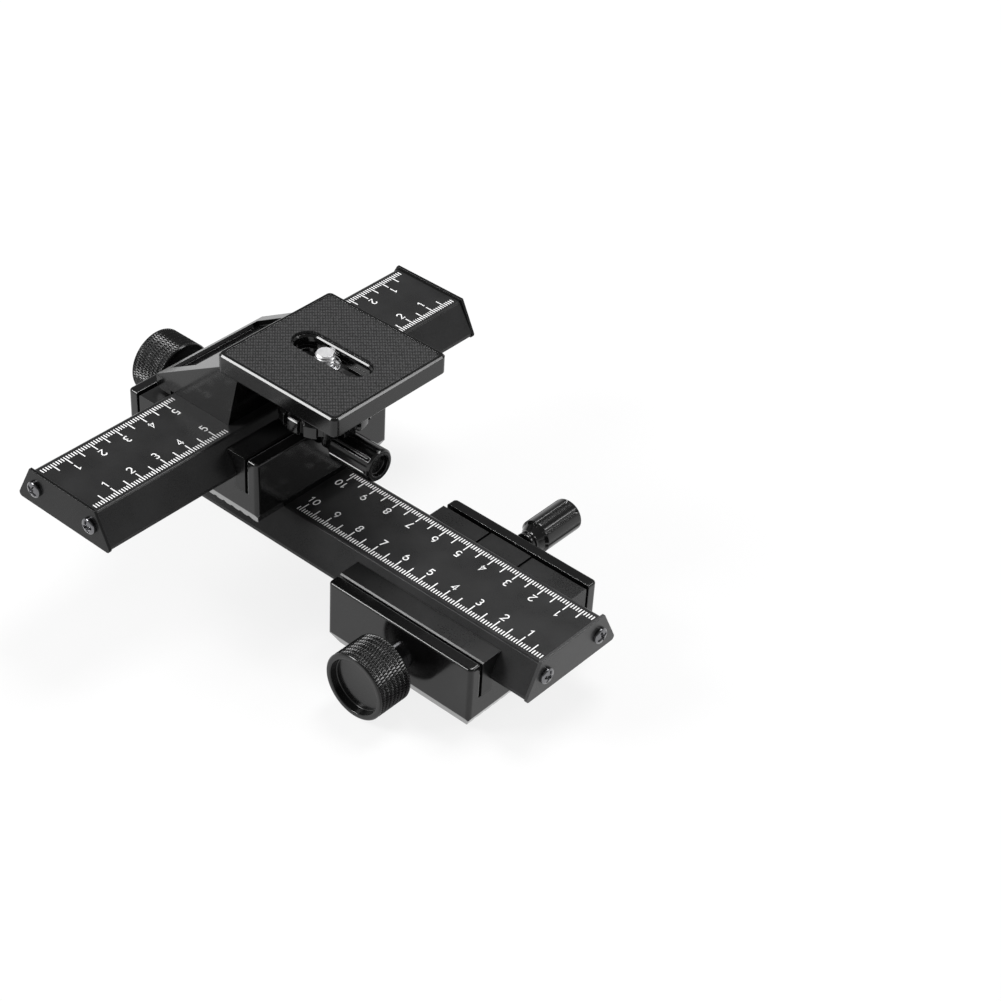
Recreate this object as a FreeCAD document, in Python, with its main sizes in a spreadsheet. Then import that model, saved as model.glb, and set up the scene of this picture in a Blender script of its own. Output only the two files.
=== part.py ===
import FreeCAD, Part

import math
import os

import Sketcher
from FreeCAD import Placement, Rotation, Vector

# A two-axis macro focusing rail. Each of its two stages is a U-shaped carriage in which a
# dovetail rail slides, driven by a rack and pinion and held by a clamp. The upper stage
# stands crosswise on the far end of the lower rail, and its own rail carries the camera
# bracket. Millimetres; X runs along the lower rail, Y along the upper one, Z up. The
# origin is the centre of the tripod thread in the underside of the lower carriage.

SIZES = (
    # Carriage: the casting that both stages share, with its channel along its own X.
    ("carriage_long", 58.4),
    ("carriage_wide", 58.4),
    ("carriage_high", 24.9),
    ("corner_round", 1.5),
    ("lip_wide", 4.0),
    ("lip_round", 0.9),
    ("foot_in", 2.85),
    ("foot_high", 5.2),
    ("shelf_high", 12.0),
    ("shelf_inner", 19.4),
    ("relief_half", 5.2),
    ("relief_deep", 1.0),
    ("rib_pitch", 3.8),
    ("rib_wide", 2.0),
    ("rib_deep", 0.9),
    # Rail: a dovetail bar with screw ports along it and a groove for the rack.
    ("rail_long", 160.6),
    ("rail_high", 11.0),
    ("rail_proud", 2.6),
    ("rail_top_half", 14.4),
    ("rail_foot_half", 20.05),
    ("rail_land", 1.2),
    ("rail_bevel", 0.4),
    ("rack_wide", 8.0),
    ("rack_thick", 3.0),
    ("lower_near_end", 42.6),
    ("stage_inset", 29.05),
    # Fits between the rail and its carriage.
    ("slide_gap", 0.05),
    ("slit_wide", 1.3),
    # Gibs and clamp shoe on the two sides of the rail.
    ("gib_edge", 0.5),
    ("clamp_long", 16.2),
    ("clamp_shift", -1.0),
    ("clamp_slit", 0.9),
    ("clamp_back", 0.3),
    # Rack and pinion.
    ("tooth_module", 0.8),
    ("pressure_angle", 20.0),
    ("pinion_teeth", 12),
    ("tooth_head", 0.72),
    ("tooth_root", 0.92),
    ("tooth_play", 0.3),
    ("pinion_wide", 7.0),
    ("pinion_room", 0.5),
    ("shaft_radius", 2.25),
    ("shaft_room", 0.05),
    ("shaft_inner_end", 14.0),
    ("bush_radius", 3.6),
    ("bush_flange_radius", 4.6),
    ("bush_flange", 2.0),
    # Focus knob, measured outwards from the wall.
    ("knob_gap", 0.3),
    ("knob_neck_radius", 4.3),
    ("knob_neck_end", 3.2),
    ("knob_back_radius", 9.6),
    ("knob_barrel_start", 5.9),
    ("knob_radius", 11.4),
    ("knob_reach", 19.1),
    ("knob_recess_radius", 9.5),
    ("knob_recess", 2.6),
    ("knob_edge", 0.5),
    # Lock knob, measured outwards from the wall.
    ("lock_high", 21.2),
    ("lock_screw_radius", 2.0),
    ("lock_neck_start", 1.2),
    ("lock_neck_radius", 3.6),
    ("lock_neck_end", 3.7),
    ("lock_body_start", 6.6),
    ("lock_radius", 5.65),
    ("lock_reach", 23.2),
    ("lock_recess_radius", 3.5),
    ("lock_recess", 1.6),
    ("lock_edge", 0.8),
    ("flute_radius", 1.5),
    ("flute_deep", 0.55),
    ("flute_count", 8),
    # End plates and the screws that hold them.
    ("plate_thick", 1.0),
    ("plate_top_half", 14.7),
    ("plate_foot_half", 21.2),
    ("plate_above", 1.0),
    ("plate_below", 0.9),
    ("plate_round", 1.2),
    ("plate_screw_out", 12.45),
    ("plate_screw_high", 5.7),
    ("plate_screw_radius", 1.5),
    ("plate_screw_long", 8.0),
    ("plate_head_radius", 2.7),
    ("plate_head_high", 1.7),
    ("plate_head_edge", 0.8),
    ("screw_room", 0.1),
    # Screws that hold the upper carriage on the lower rail.
    ("stage_screw_along", 7.5),
    ("stage_screw_across", 13.0),
    ("stage_screw_radius", 2.0),
    ("stage_screw_bite", 7.0),
    ("stage_head_radius", 3.5),
    ("stage_head_high", 4.0),
    ("stage_head_sunk", 0.6),
    # Tripod bush in the base of the lower carriage.
    ("bush_outer_radius", 4.76),
    ("bush_thread_radius", 3.175),
    ("tripod_bush_long", 5.6),
    # Camera bracket, measured from the axis and the top of the upper rail.
    ("platform_start", 7.45),
    ("platform_long", 50.0),
    ("platform_wide", 49.2),
    ("platform_thick", 6.5),
    ("platform_high", 26.5),
    ("platform_round", 2.0),
    ("platform_edge", 0.6),
    ("platform_under_round", 0.5),
    ("wedge_inset", 1.5),
    ("wedge_foot_out", 15.8),
    ("wedge_foot_drop", 1.7),
    ("wedge_lip_out", 22.2),
    ("wedge_lip_high", 3.45),
    ("wedge_lip_round", 2.0),
    ("wedge_brow_round", 0.6),
    ("wall_top_out", 15.0),
    ("wall_foot_out", 10.4),
    ("wall_fillet", 3.0),
    ("panel_margin", 2.3),
    ("panel_high_out", 8.15),
    ("panel_side", 4.2),
    ("panel_deep", 2.0),
    ("panel_ramp", 5.0),
    ("pad_inset", 1.6),
    ("pad_seat", 1.0),
    ("pad_thick", 0.9),
    ("pad_round", 1.5),
    ("bracket_screw_along", 15.0),
    ("bracket_screw_across", 7.2),
    ("bracket_screw_radius", 1.5),
    ("bracket_screw_bite", 6.0),
    ("bracket_head_radius", 2.8),
    ("bracket_head_deep", 2.2),
    # Slot in the platform, with a ledge for the washer of the captive camera screw.
    ("slot_long", 31.0),
    ("slot_wide", 10.4),
    ("slot_step", 5.2),
    ("slot_throat_long", 27.0),
    ("slot_throat_wide", 7.0),
    # Camera screw: washer, retaining clip, stud and thumbwheel.
    ("stud_shift", -2.9),
    ("stud_radius", 3.175),
    ("stud_below_top", 0.9),
    ("stud_edge", 0.5),
    ("shank_radius", 2.6),
    ("washer_radius", 4.9),
    ("washer_thick", 0.4),
    ("clip_radius", 4.4),
    ("clip_thick", 0.4),
    ("clip_groove", 0.4),
    ("ring_gap", 0.05),
    ("lift_travel", 4.2),
    ("hub_radius", 6.5),
    ("wheel_top", 7.8),
    ("wheel_thick", 5.5),
    ("wheel_radius", 14.5),
    ("wheel_edge", 0.5),
    ("notch_count", 14),
    ("notch_wide", 1.8),
    ("notch_deep", 1.6),
)

doc = FreeCAD.newDocument("macro_focusing_rail")
sheet = doc.addObject("Spreadsheet::Sheet", "sizes")
for row, (alias, number) in enumerate(SIZES, start=1):
    sheet.set(f"A{row}", alias.replace("_", " "))
    sheet.set(f"B{row}", str(number))
    sheet.setAlias(f"B{row}", alias)
doc.recompute()


class Size:
    """A length together with the spreadsheet expression that gives it."""

    def __init__(self, value, text):
        self.value = value
        self.text = text

    def __add__(self, other):
        other = as_size(other)
        return Size(self.value + other.value, f"({self.text} + {other.text})")

    def __radd__(self, other):
        return as_size(other) + self

    def __sub__(self, other):
        other = as_size(other)
        return Size(self.value - other.value, f"({self.text} - {other.text})")

    def __rsub__(self, other):
        return as_size(other) - self

    def __mul__(self, factor):
        factor = as_size(factor)
        return Size(self.value * factor.value, f"({self.text} * {factor.text})")

    def __rmul__(self, factor):
        return as_size(factor) * self

    def __truediv__(self, divisor):
        divisor = as_size(divisor)
        return Size(self.value / divisor.value, f"({self.text} / {divisor.text})")

    def __neg__(self):
        return Size(-self.value, f"(-{self.text})")


def as_size(number):
    """A plain number as a Size; a Size stays what it is."""
    if isinstance(number, Size):
        return number
    return Size(float(number), repr(float(number)))


def sheet_size(alias):
    """The Size that stands for one cell of the sheet."""
    return Size(float(sheet.get(alias)), f"sizes.{alias}")


class Dimensions:
    """The sheet's cells by name."""


dim = Dimensions()
for alias, _ in SIZES:
    setattr(dim, alias, sheet_size(alias))

# Heights and places that several sub-parts share.
ZERO = as_size(0)
RAIL_TOP = dim.carriage_high + dim.rail_proud
RAIL_BOTTOM = RAIL_TOP - dim.rail_high
FLOOR = RAIL_BOTTOM - dim.slide_gap
TOOTH_PITCH = math.pi * dim.tooth_module
PITCH_RADIUS = dim.tooth_module * dim.pinion_teeth / 2
FOCUS_HIGH = RAIL_BOTTOM + dim.tooth_head - PITCH_RADIUS
WALL = dim.carriage_wide / 2
SLIT_OUTER = WALL - dim.lip_wide
GIB_OUTER = SLIT_OUTER - dim.slit_wide
RAIL_SHIFT = dim.lower_near_end - dim.rail_long / 2
STAGE_OUT = RAIL_SHIFT - dim.rail_long / 2 + dim.stage_inset
PLATFORM_UNDER = dim.platform_high - dim.platform_thick
PLATFORM_MIDDLE = dim.platform_start + dim.platform_long / 2
LEDGE = dim.platform_high - dim.slot_step
STUD_TOP = dim.platform_high - dim.stud_below_top
HUB_TOP = PLATFORM_UNDER - dim.lift_travel
FLANK_SLOPE = (dim.rail_foot_half - dim.rail_top_half) / (dim.rail_high - dim.rail_land)

OUT_FRONT = Rotation(Vector(1, 0, 0), 90)
OUT_BACK = Rotation(Vector(1, 0, 0), -90)
NO_TURN = Rotation()
ALONG_X = Rotation(Vector(0, 1, 0), 90)
TINY = 1e-4


class Stage:
    """Where a stage stands: its name, its origin and its turn about Z."""

    def __init__(self, name, origin, crosswise, rail_shift):
        self.name = name
        self.origin = origin
        self.crosswise = crosswise
        self.rail_shift = rail_shift


LOWER = Stage("lower", (ZERO, ZERO, ZERO), False, RAIL_SHIFT)
UPPER = Stage("upper", (STAGE_OUT, ZERO, RAIL_TOP), True, ZERO)
CROSS_TURN = Rotation(Vector(0, 0, 1), -90)

subparts = []


def register(shape_object, name):
    """Give a finished sub-part the Label that names its file."""
    shape_object.Label = name
    subparts.append(shape_object)
    return shape_object


def place(shape_object, stage, spot, turn=NO_TURN):
    """Stand an object in a stage's frame, with its place bound to the sheet."""
    along, across, height = (as_size(value) for value in spot)
    if stage.crosswise:
        along, across = across, -along
        turn = CROSS_TURN.multiply(turn)
    place_in_world(shape_object, (
        stage.origin[0] + along, stage.origin[1] + across, stage.origin[2] + height), turn)


def place_in_world(shape_object, spot, turn=NO_TURN):
    """Stand an object in the part's own frame, with its place bound to the sheet."""
    spot = [as_size(value) for value in spot]
    shape_object.Placement = Placement(Vector(*(value.value for value in spot)), turn)
    for axis, value in zip("xyz", spot):
        shape_object.setExpression(f"Placement.Base.{axis}", value.text)


def new_body(name):
    return doc.addObject("PartDesign::Body", f"{name}_body")


def new_sketch(body, name, plane, lift=None):
    """A sketch on one of the body's own origin planes, moved along its normal by lift."""
    sketch = body.newObject("Sketcher::SketchObject", name)
    role = [item for item in body.Origin.OriginFeatures if item.Role == plane]
    sketch.AttachmentSupport = [(role[0], "")]
    sketch.MapMode = "FlatFace"
    if lift is not None:
        sketch.AttachmentOffset = Placement(Vector(0, 0, lift.value), Rotation())
        sketch.setExpression("AttachmentOffset.Base.z", lift.text)
    return sketch


def pin_point(sketch, item, corner, spot):
    """Hold one point of a sketch at a place given by two Sizes."""
    for kind, value, axis in (("DistanceX", spot[0], -2), ("DistanceY", spot[1], -1)):
        value = as_size(value)
        if value.text == ZERO.text:
            sketch.addConstraint(Sketcher.Constraint("PointOnObject", item, corner, axis))
            continue
        index = sketch.addConstraint(
            Sketcher.Constraint(kind, -1, 1, item, corner, value.value))
        sketch.setExpression(f"Constraints[{index}]", value.text)


def polygon(sketch, corners):
    """Draw a closed outline through corners, each bound to the sheet."""
    first = sketch.GeometryCount
    points = [Vector(as_size(x).value, as_size(y).value, 0) for x, y in corners]
    count = len(points)
    for index in range(count):
        segment = Part.LineSegment(points[index], points[(index + 1) % count])
        sketch.addGeometry(segment, False)
    for index in range(count):
        following = (index + 1) % count
        sketch.addConstraint(
            Sketcher.Constraint("Coincident", first + index, 2, first + following, 1))
    for index, corner in enumerate(corners):
        pin_point(sketch, first + index, 1, corner)
    return sketch


def rectangle(sketch, left, right, low, high):
    return polygon(sketch, [(left, low), (right, low), (right, high), (left, high)])


def circle(sketch, spot, radius):
    centre = Vector(as_size(spot[0]).value, as_size(spot[1]).value, 0)
    item = sketch.addGeometry(Part.Circle(centre, Vector(0, 0, 1), radius.value), False)
    pin_point(sketch, item, 3, spot)
    index = sketch.addConstraint(Sketcher.Constraint("Radius", item, radius.value))
    sketch.setExpression(f"Constraints[{index}]", radius.text)
    return sketch


def slot(sketch, middle, long_way, wide_way):
    """Draw a round-ended slot along the sketch's X, centred at (middle, 0)."""
    radius = wide_way / 2
    left = middle - long_way / 2 + radius
    right = middle + long_way / 2 - radius
    rise = Vector(0, radius.value, 0)
    left_centre = Vector(left.value, 0, 0)
    right_centre = Vector(right.value, 0, 0)
    normal = Vector(0, 0, 1)
    quarter = math.pi / 2
    shapes = [
        Part.ArcOfCircle(Part.Circle(left_centre, normal, radius.value), quarter, 3 * quarter),
        Part.LineSegment(left_centre - rise, right_centre - rise),
        Part.ArcOfCircle(Part.Circle(right_centre, normal, radius.value), -quarter, quarter),
        Part.LineSegment(right_centre + rise, left_centre + rise),
    ]
    for shape in shapes:
        sketch.addGeometry(shape, False)
    for index in range(4):
        sketch.addConstraint(Sketcher.Constraint("Tangent", index, 2, (index + 1) % 4, 1))
    sketch.addConstraint(Sketcher.Constraint("Equal", 0, 2))
    pin_point(sketch, 0, 3, (left, ZERO))
    pin_point(sketch, 2, 3, (right, ZERO))
    index = sketch.addConstraint(Sketcher.Constraint("Radius", 0, radius.value))
    sketch.setExpression(f"Constraints[{index}]", radius.text)
    return sketch


def bind(feature, name, value):
    value = as_size(value)
    setattr(feature, name, value.value)
    feature.setExpression(name, value.text)


def pad(body, sketch, length, both_ways=False, backwards=False):
    feature = body.newObject("PartDesign::Pad", f"{sketch.Name}_pad")
    feature.Profile = sketch
    feature.SideType = "Symmetric" if both_ways else "One side"
    feature.Reversed = backwards
    bind(feature, "Length", length)
    doc.recompute()
    return feature


def pocket(body, sketch, length, both_ways=False, backwards=False):
    """Cut a sketch into the body, and make sure that it removes material."""
    before = body.Shape.Volume
    feature = body.newObject("PartDesign::Pocket", f"{sketch.Name}_pocket")
    feature.Profile = sketch
    feature.SideType = "Symmetric" if both_ways else "One side"
    feature.Reversed = backwards
    bind(feature, "Length", length)
    doc.recompute()
    if body.Shape.Volume > before - TINY:
        raise RuntimeError(f"{feature.Name} cuts nothing")
    return feature


def revolve(body, sketch):
    """Turn a sketch on the XZ plane a full turn about the body's own Z."""
    feature = body.newObject("PartDesign::Revolution", f"{sketch.Name}_turned")
    feature.Profile = sketch
    feature.ReferenceAxis = (sketch, ["V_Axis"])
    feature.Angle = 360
    doc.recompute()
    return feature


def repeat_round(body, feature, count):
    pattern = body.newObject("PartDesign::PolarPattern", f"{feature.Name}_ring")
    pattern.Originals = [feature]
    axis = [item for item in body.Origin.OriginFeatures if item.Role == "Z_Axis"]
    pattern.Axis = (axis[0], [""])
    pattern.Angle = 360
    pattern.Occurrences = round(count.value)
    body.Tip = pattern
    doc.recompute()
    return pattern


def repeat_along(body, feature, role, pitch, count):
    """Repeat a feature count times, pitch apart, along one of the body's own axes."""
    pattern = body.newObject("PartDesign::LinearPattern", f"{feature.Name}_row")
    pattern.Originals = [feature]
    axis = [item for item in body.Origin.OriginFeatures if item.Role == role]
    pattern.Direction = (axis[0], [""])
    pattern.Occurrences = count
    bind(pattern, "Length", pitch * (count - 1))
    body.Tip = pattern
    doc.recompute()
    return pattern


def dress(body, kind, name, wanted, **settings):
    """Add a Fillet or Chamfer on the edges of the body that wanted picks."""
    edges = [
        f"Edge{index}" for index, edge in enumerate(body.Shape.Edges, start=1) if wanted(edge)]
    if not edges:
        raise RuntimeError(f"{name} finds no edge")
    base = body.Tip
    feature = body.newObject(f"PartDesign::{kind}", name)
    feature.Base = (base, edges)
    for key, value in settings.items():
        if isinstance(value, Size):
            bind(feature, key, value)
        else:
            setattr(feature, key, value)
    doc.recompute()
    return feature


def near(value, target):
    return abs(value - target) < TINY * 10


def is_upright(edge):
    box = edge.BoundBox
    return near(box.XLength, 0) and near(box.YLength, 0) and box.ZLength > TINY


def is_level(edge, height):
    """True for an edge that lies at one height."""
    box = edge.BoundBox
    return near(box.ZMin, height.value) and near(box.ZMax, height.value)


def make_carriage(stage):
    """The U-shaped casting: base, two side walls, shelves for the gibs and a ribbed sole."""
    name = f"{stage.name}_carriage"
    body = new_body(name)
    seat = dim.shelf_inner
    right = [
        (WALL, ZERO), (WALL, dim.carriage_high), (SLIT_OUTER, dim.carriage_high),
        (SLIT_OUTER, dim.shelf_high), (seat, dim.shelf_high), (seat, FLOOR),
        (dim.relief_half, FLOOR), (dim.relief_half, FLOOR - dim.relief_deep)]
    left = [(-across, height) for across, height in reversed(right)]
    profile = polygon(new_sketch(body, f"{name}_profile", "YZ_Plane"), right + left)
    pad(body, profile, dim.carriage_long, both_ways=True)
    end = dim.carriage_long.value / 2
    side = WALL.value

    def at_side(edge):
        return near(edge.BoundBox.YMax, side) or near(edge.BoundBox.YMin, -side)

    dress(body, "Fillet", f"{name}_corners", lambda edge: is_upright(edge)
          and near(abs(edge.BoundBox.XMax), end) and at_side(edge), Radius=dim.corner_round)
    dress(body, "Fillet", f"{name}_lips", lambda edge: is_level(edge, dim.carriage_high)
          and at_side(edge) and edge.BoundBox.XLength > dim.corner_round.value,
          Radius=dim.lip_round)
    add_foot(body, name)
    add_ribs(body, name)
    add_drive_room(body, name)
    add_lock_hole(body, name)
    if stage is LOWER:
        bush_hole = circle(new_sketch(body, f"{name}_bush_hole", "XY_Plane"), (ZERO, ZERO),
                           dim.bush_outer_radius)
        pocket(body, bush_hole, dim.tripod_bush_long, backwards=True)
    else:
        add_stage_screw_holes(body, name)
    place(body, stage, (ZERO, ZERO, ZERO))
    return register(body, name)


def add_foot(body, name):
    """Steep bevels along the four sides, from the walls down to the narrower sole."""
    for plane, half in (("YZ_Plane", WALL), ("XZ_Plane", dim.carriage_long / 2)):
        bevels = new_sketch(body, f"{name}_foot_{plane[:2]}", plane)
        for side in (1, -1):
            polygon(bevels, [(half * side, ZERO), (half * side, dim.foot_high),
                             ((half - dim.foot_in) * side, ZERO)])
        pocket(body, bevels, dim.carriage_long + dim.carriage_wide, both_ways=True)


def add_ribs(body, name):
    """Shallow grooves along the sole, a whole number of them, centred across it."""
    sole_half = WALL - dim.foot_in
    count = 2 * int((sole_half.value - dim.rib_wide.value) / dim.rib_pitch.value) + 1
    first = -dim.rib_pitch * ((count - 1) // 2)
    half = dim.rib_wide / 2
    groove = polygon(new_sketch(body, f"{name}_rib", "YZ_Plane"), [
        (first - half, ZERO), (first + half, ZERO),
        (first + half / 2, dim.rib_deep), (first - half / 2, dim.rib_deep)])
    cut = pocket(body, groove, dim.carriage_long + dim.corner_round, both_ways=True)
    repeat_along(body, cut, "Y_Axis", dim.rib_pitch, count)


def add_drive_room(body, name):
    """The round room of the pinion, its shaft bore and the seat of the bush."""
    spot = (ZERO, FOCUS_HIGH)
    outer = PITCH_RADIUS + dim.tooth_head + dim.pinion_room
    room = circle(new_sketch(body, f"{name}_pinion_room", "XZ_Plane"), spot, outer)
    pocket(body, room, dim.relief_half * 2, both_ways=True)
    bore = circle(new_sketch(body, f"{name}_shaft_bore", "XZ_Plane", -dim.shaft_inner_end),
                  spot, dim.shaft_radius + dim.shaft_room)
    pocket(body, bore, WALL + dim.shaft_inner_end, backwards=True)
    seat = circle(new_sketch(body, f"{name}_bush_seat", "XZ_Plane", SLIT_OUTER), spot,
                  dim.bush_radius)
    pocket(body, seat, dim.lip_wide, backwards=True)


def add_lock_hole(body, name):
    hole = circle(new_sketch(body, f"{name}_lock_hole", "XZ_Plane", -WALL),
                  (dim.clamp_shift, dim.lock_high), dim.lock_screw_radius + dim.shaft_room)
    pocket(body, hole, dim.lip_wide, backwards=True)


def add_stage_screw_holes(body, name):
    """Four counterbored holes through the floor for the screws into the rail below."""
    head_seat = FLOOR - dim.stage_head_sunk - dim.stage_head_high
    shanks = new_sketch(body, f"{name}_screw_holes", "XY_Plane")
    heads = new_sketch(body, f"{name}_head_seats", "XY_Plane", head_seat)
    for along in (-dim.stage_screw_along, dim.stage_screw_along):
        for across in (-dim.stage_screw_across, dim.stage_screw_across):
            circle(shanks, (along, across), dim.stage_screw_radius + dim.screw_room)
            circle(heads, (along, across), dim.stage_head_radius + dim.screw_room)
    pocket(body, shanks, FLOOR, backwards=True)
    pocket(body, heads, FLOOR - head_seat, backwards=True)


def gib_outline():
    """Section of a gib in the carriage frame, with its flank a slide gap off the rail's."""
    land_top = RAIL_BOTTOM + dim.rail_land
    drop = RAIL_TOP - dim.carriage_high
    top_inner = dim.rail_top_half + FLANK_SLOPE * drop + dim.slide_gap
    foot_inner = dim.rail_foot_half + dim.slide_gap
    return [
        (GIB_OUTER, dim.shelf_high), (GIB_OUTER, dim.carriage_high),
        (top_inner, dim.carriage_high), (foot_inner, land_top), (foot_inner, FLOOR),
        (dim.shelf_inner + dim.slide_gap, FLOOR),
        (dim.shelf_inner + dim.slide_gap, dim.shelf_high)]


def make_gib(stage, name, side, start, end, back=ZERO):
    """A gib from start to end along the channel, on the side given by +1 or -1."""
    name = f"{stage.name}_{name}"
    body = new_body(name)
    outline = [(side * across, height) for across, height in gib_outline()]
    profile = polygon(new_sketch(body, f"{name}_profile", "YZ_Plane", start), outline)
    pad(body, profile, end - start)
    outer = GIB_OUTER.value
    dress(body, "Chamfer", f"{name}_edge", lambda edge: is_level(edge, dim.carriage_high)
          and near(abs(edge.BoundBox.YMax), outer) and near(edge.BoundBox.YLength, 0),
          Size=dim.gib_edge)
    if side < 0:
        hole = circle(new_sketch(body, f"{name}_shaft_hole", "XZ_Plane", GIB_OUTER),
                      (ZERO, FOCUS_HIGH), dim.shaft_radius + dim.screw_room)
        pocket(body, hole, GIB_OUTER)
    place(body, stage, (ZERO, back, ZERO))
    return register(body, name)


def make_gibs(stage):
    """One long gib on the knob side; two gibs and the clamp shoe on the lock side."""
    half = dim.carriage_long / 2
    clamp_start = dim.clamp_shift - dim.clamp_long / 2
    clamp_end = dim.clamp_shift + dim.clamp_long / 2
    make_gib(stage, "gib", -1, -half, half)
    make_gib(stage, "gib_far", 1, -half, clamp_start - dim.clamp_slit)
    make_gib(stage, "gib_near", 1, clamp_end + dim.clamp_slit, half)
    make_gib(stage, "clamp", 1, clamp_start, clamp_end, dim.clamp_back)


def make_rail(stage):
    """The dovetail bar, with its rack groove, two screw ports and the holes of its stage."""
    name = f"{stage.name}_rail"
    body = new_body(name)
    groove_half = dim.rack_wide / 2
    right = [
        (groove_half, dim.rack_thick), (groove_half, ZERO), (dim.rail_foot_half, ZERO),
        (dim.rail_foot_half, dim.rail_land), (dim.rail_top_half, dim.rail_high)]
    left = [(-across, height) for across, height in reversed(right)]
    profile = polygon(new_sketch(body, f"{name}_profile", "YZ_Plane"), right + left)
    for across in (-dim.plate_screw_out, dim.plate_screw_out):
        circle(profile, (across, dim.plate_screw_high), dim.plate_screw_radius)
    pad(body, profile, dim.rail_long, both_ways=True)
    if stage is LOWER:
        holes = new_sketch(body, f"{name}_stage_holes", "XY_Plane", dim.rail_high)
        middle = STAGE_OUT - RAIL_SHIFT
        for along in (middle - dim.stage_screw_across, middle + dim.stage_screw_across):
            for across in (-dim.stage_screw_along, dim.stage_screw_along):
                circle(holes, (along, across), dim.stage_screw_radius)
        pocket(body, holes, dim.stage_screw_bite + dim.stage_head_sunk)
    else:
        add_bracket_screw_holes(body, name)
    top_half = dim.rail_top_half.value
    dress(body, "Chamfer", f"{name}_bevel", lambda edge: is_level(edge, dim.rail_high)
          and near(abs(edge.BoundBox.YMax), top_half) and near(edge.BoundBox.YLength, 0),
          Size=dim.rail_bevel)
    place(body, stage, (stage.rail_shift, ZERO, RAIL_BOTTOM))
    return register(body, name)


def bracket_screw_spots():
    return [
        (along, across)
        for along in (-dim.bracket_screw_along, dim.bracket_screw_along)
        for across in (-dim.bracket_screw_across, dim.bracket_screw_across)]


def add_bracket_screw_holes(body, name):
    """Four holes with straight counterbores, from the rail's underside up to its top."""
    shanks = new_sketch(body, f"{name}_bracket_holes", "XY_Plane")
    heads = new_sketch(body, f"{name}_bracket_heads", "XY_Plane")
    for spot in bracket_screw_spots():
        circle(shanks, spot, dim.bracket_screw_radius + dim.screw_room)
        circle(heads, spot, dim.bracket_head_radius + dim.screw_room)
    pocket(body, shanks, dim.rail_high, backwards=True)
    pocket(body, heads, dim.bracket_head_deep, backwards=True)


def tooth_gap(mouth_height):
    """Half-widths of a straight-sided tooth gap at a height over the pitch line and at its root."""
    flank = math.tan(math.radians(dim.pressure_angle.value))
    at_pitch = (TOOTH_PITCH / 2 + dim.tooth_play) / 2
    return at_pitch + mouth_height * flank, at_pitch - dim.tooth_root * flank


def make_rack(stage):
    """The rack strip under the rail, with one gap right above the pinion at rest."""
    name = f"{stage.name}_rack"
    body = new_body(name)
    half_long = dim.rail_long / 2
    strip = rectangle(new_sketch(body, f"{name}_side", "XZ_Plane"), -half_long, half_long,
                      ZERO, dim.rack_thick)
    pad(body, strip, dim.rack_wide, both_ways=True)
    mouth, root = tooth_gap(dim.tooth_head)
    end_room = TOOTH_PITCH
    before = int((half_long - stage.rail_shift - end_room).value // TOOTH_PITCH.value)
    after = int((half_long + stage.rail_shift - end_room).value // TOOTH_PITCH.value)
    first = -stage.rail_shift - TOOTH_PITCH * before
    depth = dim.tooth_head + dim.tooth_root
    gap = polygon(new_sketch(body, f"{name}_gap", "XZ_Plane"), [
        (first - mouth, ZERO), (first + mouth, ZERO), (first + root, depth),
        (first - root, depth)])
    cut = pocket(body, gap, dim.rack_wide + dim.rack_thick, both_ways=True)
    repeat_along(body, cut, "X_Axis", TOOTH_PITCH, before + after + 1)
    place(body, stage, (stage.rail_shift, ZERO, RAIL_BOTTOM))
    return register(body, name)


def make_drive_shaft(stage):
    """The pinion and its shaft, turned and cut about the body's own Z."""
    name = f"{stage.name}_pinion_shaft"
    body = new_body(name)
    outer_end = WALL + dim.knob_reach - dim.knob_recess - dim.plate_thick
    shaft = circle(new_sketch(body, f"{name}_shaft", "XY_Plane", -dim.shaft_inner_end),
                   (ZERO, ZERO), dim.shaft_radius)
    blank = circle(new_sketch(body, f"{name}_blank", "XY_Plane"), (ZERO, ZERO),
                   PITCH_RADIUS + dim.tooth_head)
    pad(body, blank, dim.pinion_wide, both_ways=True)
    past_tip = dim.tooth_head * 2
    mouth, root = tooth_gap(past_tip)
    half_tooth_turn = 180 / dim.pinion_teeth.value
    gap = polygon(new_sketch(body, f"{name}_gap", "XY_Plane"), [
        (PITCH_RADIUS + past_tip, -mouth), (PITCH_RADIUS + past_tip, mouth),
        (PITCH_RADIUS - dim.tooth_root, root), (PITCH_RADIUS - dim.tooth_root, -root)])
    cut = pocket(body, gap, dim.pinion_wide * 2, both_ways=True)
    repeat_round(body, cut, dim.pinion_teeth)
    pad(body, shaft, dim.shaft_inner_end + outer_end)
    spin = Rotation(Vector(0, 0, 1), 90 + half_tooth_turn)
    place(body, stage, (ZERO, ZERO, FOCUS_HIGH), OUT_FRONT.multiply(spin))
    return register(body, name)


def make_bush(stage):
    """The flanged bush that carries the shaft in the side wall."""
    name = f"{stage.name}_shaft_bush"
    body = new_body(name)
    inner = dim.shaft_radius + dim.shaft_room
    profile = polygon(new_sketch(body, f"{name}_section", "XZ_Plane"), [
        (inner, SLIT_OUTER), (dim.bush_radius, SLIT_OUTER), (dim.bush_radius, WALL),
        (dim.bush_flange_radius, WALL), (dim.bush_flange_radius, WALL + dim.bush_flange),
        (inner, WALL + dim.bush_flange)])
    revolve(body, profile)
    place(body, stage, (ZERO, ZERO, FOCUS_HIGH), OUT_FRONT)
    return register(body, name)


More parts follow.
